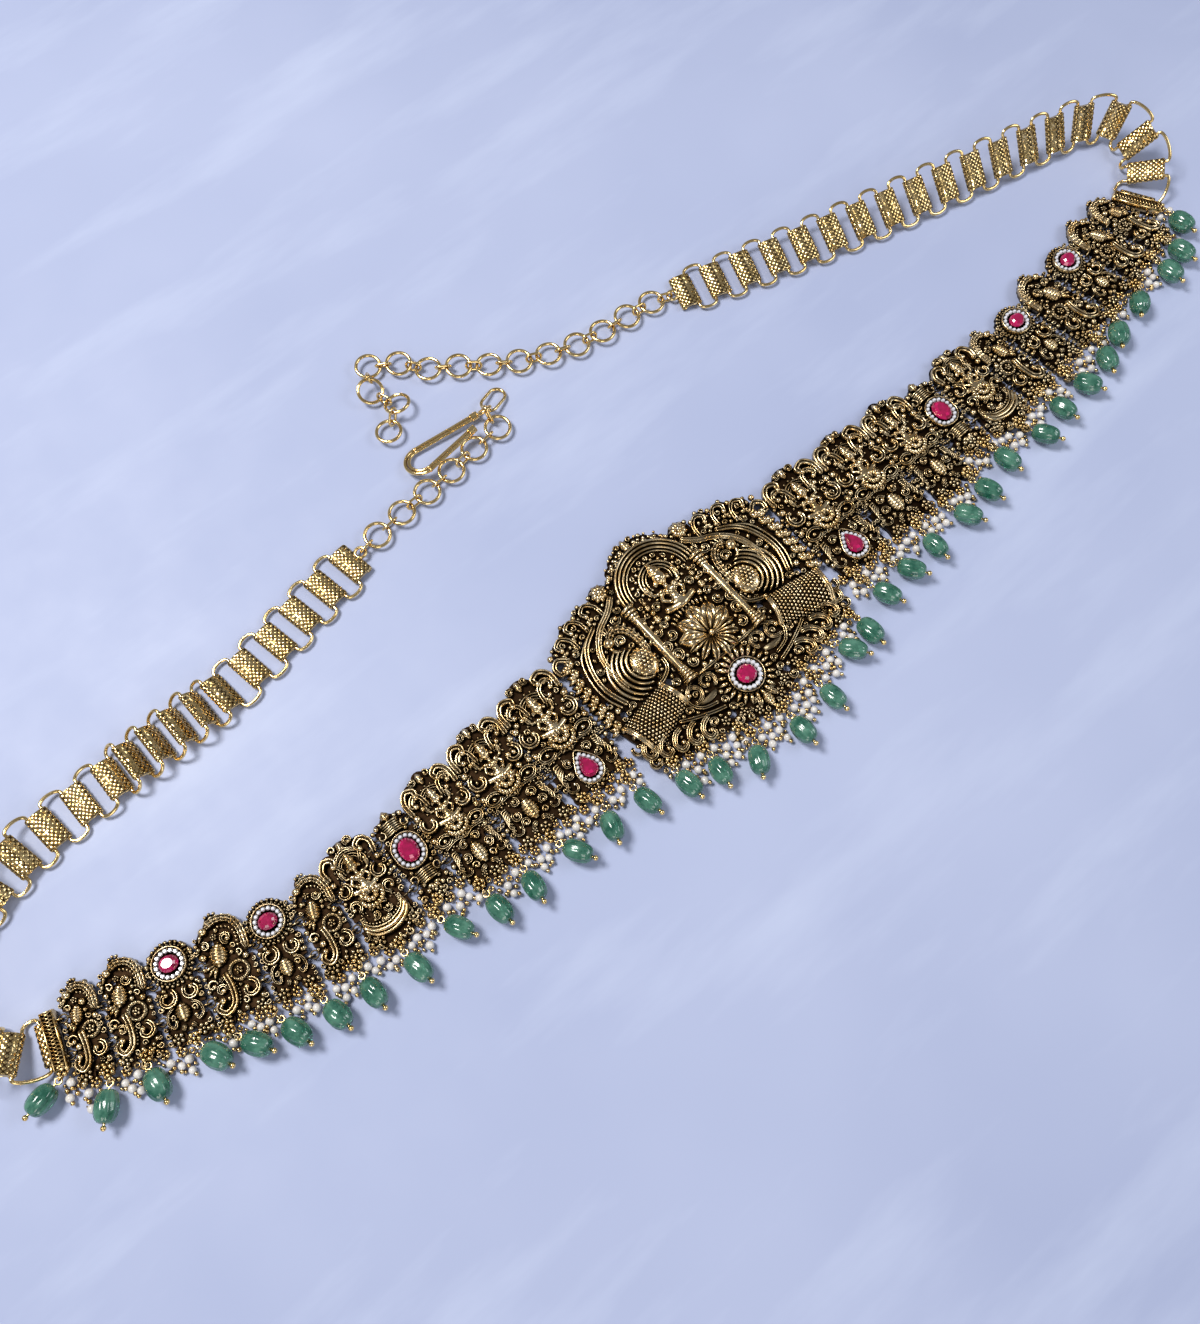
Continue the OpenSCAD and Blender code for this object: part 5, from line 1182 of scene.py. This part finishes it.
def build_panels():
    s, st, core = Shape(), Shape(), Shape()
    plate = base_plate("medallion")
    medallion(s, st, core)
    fill_in(s, plate, np.eye(4), (-39, 39, -29, 38), 5, medallion_zone, 0.62, mirror=True)
    for side in (1, -1):
        linking_eyes(s, side, 1, True)
    bails(s, 1, 0)
    s.make("medallion_ornament", ANTIQUE, "antique_gold")
    st.make("medallion_white_stones", WHITE, "ruby", smooth=False)
    # the drum cores are painted near-black as shade between their beads
    core.make("medallion_drum_cores", PAINTED_SHADE_SHEET, "antique_gold")
    medallion_field()
    for side, word in ((1, "right_"), (-1, "left_")):
        for i, (name, (build, *sizes)) in enumerate(PANELS.items(), 1):
            s, st = Shape(), Shape()
            plate = base_plate(word + name)
            s.frame = st.frame = m = panel_frame(side, i)
            build(s, st, i, *sizes)
            if i < END:
                edge_trim(s, plate, m, side, i)
                fill_in(s, plate, m, (-11, 11, -18.5, 21), 10 + i, least=0.86 if i in (1, 2, 3, 5) else 0.68,
                        edges=(overhang(side, i, False), overhang(side, i, True)), eyes=panel_eyes(side, i))
            linking_eyes(s, side, i, False)
            if i < END:
                linking_eyes(s, side, i + 1, True)
            bails(s, side, i)
            s.make(word + name + "_ornament", FRINGE if i == END else ANTIQUE, "antique_gold")
            if st.n:
                st.make(word + name + "_white_stones", WHITE, "ruby", smooth=False)


# ---------------------------------------------------------------- the fringe
def axes(x, y, z, p):
    """The frame at p with these axes."""
    m = np.eye(4)
    m[:3] = np.column_stack([x, y, z, p])
    return m


def drop_frame(d):
    """Frame of a bead: +X along its pin towards the tip."""
    a, c = radians(d[3]), radians(SLOPE)
    x, y = np.array([cos(c) * cos(a), cos(c) * sin(a), sin(c)]), np.array([-sin(a), cos(a), 0])
    return axes(x, y, np.cross(x, y), [d[1], d[2], BEAD_Z])


def hoop(x, r, a):
    return np.stack([np.full(len(a), x), r * np.cos(a), r * np.sin(a)], -1)


def melon_beads():
    s = Shape()
    profile = [(0.5, -4.0), (1.1, -3.97), (1.75, -3.72), (2.3, -3.2), (2.72, -2.4), (3.0, -1.2), (3.08, 0.0),
               (3.0, 1.2), (2.7, 2.4), (2.26, 3.2), (1.7, 3.72), (1.05, 3.97), (0.5, 4.0)]
    seg, ribs, bore = 50, 10, 0.5
    a = turns(seg)
    for d in DROPS[1] + DROPS[-1]:
        turn = rng.uniform(0, 2 * pi)
        twist = rng.uniform(0.05, 0.13)
        k = rng.uniform(0.95, 1.0)
        # the beads near the medallion look smaller in the photo
        slim = 0.92 if abs(d[1]) < 130 else 1.0
        v = []
        for r, x in profile:
            r = bore + (r - bore) * slim
            phase = np.mod(a * ribs / (2 * pi) + twist * x + turn, 1) - 0.5
            groove = 1 - 0.11 * np.exp(-(phase / 0.14) ** 2) * min(1, r / 2)
            v.append(hoop(x * k, r * k * groove, a))
        s.frame = drop_frame(d)
        s.put(np.concatenate(v), grid(len(profile), seg, wrap_cols=True))
        wall = [hoop(x * k, bore * k, turns(12)) for x in (-BEAD_L, BEAD_L)]
        s.put(np.concatenate(wall), grid(2, 12, wrap_cols=True)[:, ::-1])
    s.make("melon_beads_ribbed", GREEN, "green_stone", replaces=["melon_beads"])


def fringe():
    """Charms, pearls and gold balls hung close between the panels' lower edges and the beads, clear of each other."""
    pearls, charms, metal = Shape(), Shape(), Shape()
    pick = np.random.default_rng(77)
    obstacles = [(np.array(a), np.array(b), -0.9) for a, b in BAILS]
    for d in DROPS[1] + DROPS[-1]:
        m = drop_frame(d)
        # the bead, its tip and its bail, each from a to b along the pin
        for a, b, r in ((-2.3, 2.3, 3.15), (3.6, 4.9, -0.75), (-6.4, -4.0, -0.7)):
            obstacles.append((m[:2, 3] + a * m[:2, 0], m[:2, 3] + b * m[:2, 0], r))
    cells, depth, away = [], [], []
    for side, i in [(1, 0)] + [(side, i) for side in (1, -1) for i in range(1, END + 1)]:
        m, edge_line, width = (panel_frame(side, i), LOBES[i], HALF[i]) if i else (np.eye(4), RIM, 33.0)
        at_x = np.array([q[0] for q in edge_line])
        xs = np.arange(-width, width, 0.3)
        edge = np.interp(xs, at_x, [q[1] for q in edge_line])
        if i:
            near = np.min(np.abs(xs[:, None] - at_x), 1)
            edge = edge - np.sqrt(np.clip(1.8 ** 2 - near ** 2, 0, 9))
        for x, e in zip(xs, edge):
            for t in np.arange(0.0, 6.6 if i else 9.6, 0.3):
                cells.append((m @ np.array([x, e - t, 0, 1]))[:2])
                depth.append(t)
                away.append(m[:2, :2] @ np.array([0, -1.0]))
    cells, depth = np.array(cells), np.array(depth)
    small, beads = np.full(len(cells), 9.0), np.full(len(cells), 9.0)
    for a, b, r in obstacles:
        ab = b - a
        t = np.clip(((cells - a) @ ab) / (ab @ ab), 0, 1)
        dist = np.hypot(*(cells - a - t[:, None] * ab).T)
        if r > 0:
            beads = np.minimum(beads, dist)
        else:
            small = np.minimum(small, dist + r)

    def place(kind, r, lo, hi, most, apart=0.08):
        """Up to most pieces of radius r, at depths lo to hi under the edge, where there is room on the surface."""
        nonlocal small
        order = np.flatnonzero((depth > lo) & (depth < hi))
        order = order[np.argsort(depth[order] + pick.uniform(0, 2.4, len(order)))]
        clear = r + 0.04
        ok = (small > clear) & (beads > 2 * sqrt(3.1 * clear) + 0.12)
        count = 0
        for k in order:
            if count >= most:
                break
            if not ok[k]:
                continue
            x, y = cells[k]
            kind(x, y, r, away[k])
            count += 1
            gone = np.hypot(cells[:, 0] - x, cells[:, 1] - y)
            small = np.minimum(small, gone - r)
            ok &= gone > 2 * r + apart

    def charm(x, y, r, way, z=0.5):
        flower(charms, x, y, z, r, pick.uniform(0, 72))
        tube(charms, circle3((x, y, z), 0.74 * r, AWAY_X, UP_Y, 10), 0.26, 5, True)
        ball(charms, x - 1.05 * r * way[0], y - 1.05 * r * way[1], z + 0.35, 0.3 * r, COARSE)

    def pearl(x, y, r, way):
        ball(pearls, x, y, r + 0.02, r, FINE)
        a = atan2(way[1], way[0]) + pick.uniform(-0.9, 0.9)
        c, t = cos(a), sin(a)
        ball(metal, x + (r + 0.3) * c, y + (r + 0.3) * t, r + 0.1, 0.58)
        tube(metal, [(x - 0.9 * r * c, y - 0.9 * r * t, r), (x - 1.3 * r * c, y - 1.3 * r * t, r + 0.1)], 0.2, 6)

    def gold_ball(x, y, r, way):
        ball(metal, x, y, r + 0.02, r, MEDIUM if r > 0.6 else COARSE)

    def loop(x, y, r, way):
        a = pick.uniform(0, pi)
        u, v = (cos(a), sin(a), 0.25), (-sin(a), cos(a), 0.2)
        tube(metal, circle3((x, y, 0.62 * r + 0.3), 0.66 * r, u, v, 12), 0.28, 6, True)

    for knee, lobe in BAILS:
        way = np.array(knee) - lobe
        long = np.linalg.norm(way)
        way = way / max(long, 1e-6)
        at = np.array(knee) - 0.9 * way
        charm(*at, 1.75, way, 2.1)
        if long > 4.6:
            charm(*(at - 3.3 * way), 1.55, way, 1.9)
    for rule in ((charm, 1.5, 0.7, 1.7, 90), (pearl, 1.1, 2.2, 9.0, 120, 0.9), (pearl, 1.0, 1.8, 9.0, 60, 0.3),
                 (charm, 1.3, 0.4, 7.0, 100), (loop, 0.9, 0.4, 5.0, 60), (gold_ball, 0.68, 0.4, 8.0, 200),
                 (gold_ball, 0.5, 0.0, 7.0, 200)):
        place(*rule)
    pearls.make("fringe_pearls", PEARL, "green_stone")
    charms.make("fringe_charms", FRINGE, "polished_gold")
    metal.make("fringe_gold_balls", FRINGE, "polished_gold")


# ---------------------------------------------------------------- book chains
# by side, as knots over the plate's number: heading, lean, step to the next plate, and dip
HEAD = {1: [(0, 30), (1, 62), (2, 92), (3, 143), (4, 163), (6, 166), (10, 165), (18, 161)],
        -1: [(0, 156), (1, 122), (2, 86), (3, 56), (4, 38), (5, 27), (6, 17), (7, 9), (8, 3), (9, 0), (14, 1), (15, 8),
             (17, 11), (20, 8)]}
LEAN = {1: [(0, 0), (1, 26), (2, 52), (3, 66), (4, 60), (5, 54), (7, 44), (10, 30), (14, 14), (18, 0)],
        -1: [(0, 0), (1, 26), (2, 52), (3, 60), (4, 56), (5, 44), (6, 30), (7, 16), (8, 6), (9, 0), (20, 0)]}
STEP = {1: [(0, 7.6), (1, 9.7), (20, 9.7)],
        -1: [(0, 7.6), (1, 9.7), (9, 9.7), (10, 6.9), (14, 6.9), (15, 9.7), (20, 9.7)]}
DIP = {1: [(0, 0), (20, 0)], -1: [(0, 0), (9, 0), (10, 20), (11, 48), (14, 48), (15, 20), (16, 0), (20, 0)]}
COUNT = {1: 18, -1: 20}
BOOK_L, BOOK_B, ROLL, WIRE, BOW = 10.5, 4.4, 1.0, 0.5, 1.4


def look(table, k):
    return float(np.interp(k, [q[0] for q in table], [q[1] for q in table]))


def unit(v):
    return v / np.linalg.norm(v)


def plate_frames(side):
    """Middle, heading and across of each plate, worked out as in the CAD source."""
    n = COUNT[side]
    x, y, turn = ROWS[side][END]
    a = radians(turn)
    p = np.array([x + side * 2.8 * cos(a), y + side * 2.8 * sin(a)])
    mids = []
    for k in range(n + 1):
        lean, dip = radians(look(LEAN[side], k)), look(DIP[side], k)
        z = 1.05 if k == 0 else ((BOOK_L / 2 + BOW + WIRE + 0.75) * sin(lean) + (ROLL + 0.12) * cos(lean)
                                 + BOOK_B / 2 * sin(radians(dip)) + 0.0056 * dip)
        mids.append(np.array([*p, z]))
        h = radians(look(HEAD[side], k))
        p = p + look(STEP[side], k) * np.array([cos(h), sin(h)])
    out = []
    for k in range(n + 1):
        d = unit(mids[min(k + 1, n)] - mids[max(k - 1, 0)])
        rise = asin(d[2]) - radians(look(DIP[side], k))
        t = atan2(d[1], d[0])
        h = np.array([cos(rise) * cos(t), cos(rise) * sin(t), sin(rise)])
        flat = unit(side * np.array([h[1], -h[0], 0]))
        lean = radians(look(LEAN[side], k))
        c = cos(lean) * flat + sin(lean) * np.array(UP_Z)
        out.append((mids[k], h, unit(c - h * np.dot(c, h))))
    out[0] = (mids[0], out[0][1], np.array([sin(a), -cos(a), 0]))
    return out


def knurl_skin(s, skin, cols, rows=49):
    """A skin of raised diamonds that follows the given outline over the length of a plate."""
    skin = np.array(skin)
    even = np.linspace(0, lengths(skin)[-1], cols)
    skin = points_at(skin, even)
    way = np.gradient(skin, axis=0)
    out = np.stack([-way[:, 1], way[:, 0]], -1) / np.linalg.norm(way, axis=1, keepdims=True)
    u = np.linspace(-BOOK_L / 2, BOOK_L / 2, rows)[:, None]
    bump = 0.22 * np.abs(np.cos(pi * (u + even) / KNURL_PITCH) * np.cos(pi * (u - even) / KNURL_PITCH)) ** 0.7 - 0.1
    bump[0, :] = bump[-1, :] = -0.1
    along = np.repeat(u, cols, 1)
    v = np.stack([skin[:, 0] + out[:, 0] * bump, along, skin[:, 1] + out[:, 1] * bump], -1)
    uv = np.stack([along, np.tile(even, (rows, 1))], -1)
    s.put(v.reshape(-1, 3), grid(rows, cols)[:, ::-1], uv=uv.reshape(-1, 2))


def knurled_plates(side, name, node):
    s = Shape()
    frames = plate_frames(side)
    b, end = BOOK_B / 2, BOOK_L / 2
    roll = [(cos(q), sin(q)) for q in np.radians([165, 145, 125, 105])]
    skin = [(-b - 0.98 * ROLL, -0.2)] + [(-b + ROLL * c, ROLL * q) for c, q in roll]
    skin += [(x, 1.0 + 0.35 * cos(x / 1.9 * pi / 2)) for x in np.linspace(-1.9, 1.9, 13)]
    skin += [(b - ROLL * c, ROLL * q) for c, q in roll[::-1]] + [(b + 0.98 * ROLL, -0.2)]
    bar = [(-1.2, -0.8), (-1.2, 0.9), (-0.6, 1.25), (0.1, 1.3), (0.7, 1.1), (1.15, 0.6), (1.25, -0.6)]
    web = np.array([(-b, 0.1), (b, 0.1), (b, 0.92), (0.9, 1.26), (-0.9, 1.26), (-b, 0.92)])
    t = np.radians(np.arange(18) * 20)
    for k, (p, h, c) in enumerate(frames):
        if k == 0:
            s.frame = axes(np.array([-side * c[1], side * c[0], 0]), side * -c, UP_Z, p)
            knurl_skin(s, bar, 19)
            continue
        # plate local frame: x heading, y along the roll, z up
        z = np.cross(h, -side * c)
        s.frame = axes(h, np.cross(z, h), z, p)
        knurl_skin(s, skin, 29)
        # rolls and web under the skin
        for x in (-b, b):
            ring = [np.column_stack([x + r * np.cos(t), np.full(18, y), r * np.sin(t)])
                    for r, y in ((0.93 * ROLL, -end), (0.93 * ROLL, end), (0.68, end), (0.68, -end))]
            s.put(np.concatenate(ring), grid(4, 18, wrap_rows=True, wrap_cols=True))
        ends = [np.column_stack([web[:, 0], np.full(6, y), web[:, 1]]) for y in (0.01 - end, end - 0.01)]
        s.put(np.concatenate(ends), grid(2, 6, wrap_cols=True), [[0, j, j + 1] for j in range(1, 5)],
              [[j + 7, j + 6, 6] for j in range(1, 5)])
    p, h, c = frames[-1]
    s.frame = np.eye(4)
    tube(s, circle3(p + h * (b + 2) + [0, 0, 0.68], 1.5, AWAY_X, UP_Y, 30), 0.45, 10, True)
    s.make(name, KNURL, "polished_gold", replaces=[node], uv=True)


def wire_rings(side, name, node):
    """The bowed rings between the plates, round where the CAD ones have five sides."""
    s = Shape()
    frames = plate_frames(side)
    half = BOOK_L / 2 + 0.75
    for k in range(COUNT[side]):
        (p0, h0, c0), (p1, h1, c1) = frames[k], frames[k + 1]
        p = p0 if k == 0 else p0 + h0 * BOOK_B / 2
        q = p1 - h1 * BOOK_B / 2
        corners = [p - half * c0, p + half * c0, q + half * c1, q - half * c1]
        loop = []
        for a, e, f in (corners[:3], corners[2:] + corners[:1]):
            w = np.linalg.norm(f - e)
            x = (f - e) / w
            y = unit((e - a) - np.dot(e - a, x) * x)
            bow = min(BOW, 0.45 * w)
            loop += [a + (e - a) * t for t in np.linspace(0.1, 0.94, 5)]
            loop += [(e + f) / 2 - w / 2 * cos(t) * x + bow * sin(t) * y for t in np.radians(np.linspace(0, 180, 13))]
        tube(s, loop, 0.47, 10, True)
    s.make(name, BRIGHT, "polished_gold", replaces=[node])


def dress_nodes():
    """Materials of the CAD nodes that are shown as they are."""
    for name, o in nodes.items():
        bright = any(word in name for word in ("head_pins", "ring_chain", "end_ring", "hook", "book"))
        mat = RUBY if "ruby" in name else GREEN if name == "melon_beads" else BRIGHT if bright else ANTIQUE
        o.data.materials.clear()
        o.data.materials.append(mat)


make_camera()
area_light("key", (-0.3, 0.5, 0.95), (0.36, 0.36), 11.9, (1.0, 0.98, 0.95))
area_light("fill", (0.55, -0.35, 0.6), (0.5, 0.3), 2.2, (0.93, 0.96, 1.0))
area_light("rim", (-0.5, -0.5, 0.35), (0.3, 0.5), 1.4, (1.0, 0.97, 0.92))
world = bpy.data.worlds.new("studio")
world.use_nodes = True
bpy.context.scene.world = world
sky = world.node_tree.nodes["Background"].inputs
sky["Color"].default_value = (0.80, 0.84, 0.95, 1)
sky["Strength"].default_value = 0.24
bpy.context.scene.view_settings.view_transform = "Standard"

dress_nodes()
build_panels()
melon_beads()
fringe()
for side, word in ((1, "right_"), (-1, "left_")):
    knurled_plates(side, word + "knurled_plates", word + "book_plates")
    wire_rings(side, word + "wire_rings", word + "book_rings")

ground = bpy.data.meshes.new("floor")
ground.from_pydata([(-3, -3, -0.0001), (3, -3, -0.0001), (3, 3, -0.0001), (-3, 3, -0.0001)], [], [(0, 1, 2, 3)])
ground.materials.append(FLOOR)
floor = new_object("floor", ground)

bpy.context.view_layer.update()
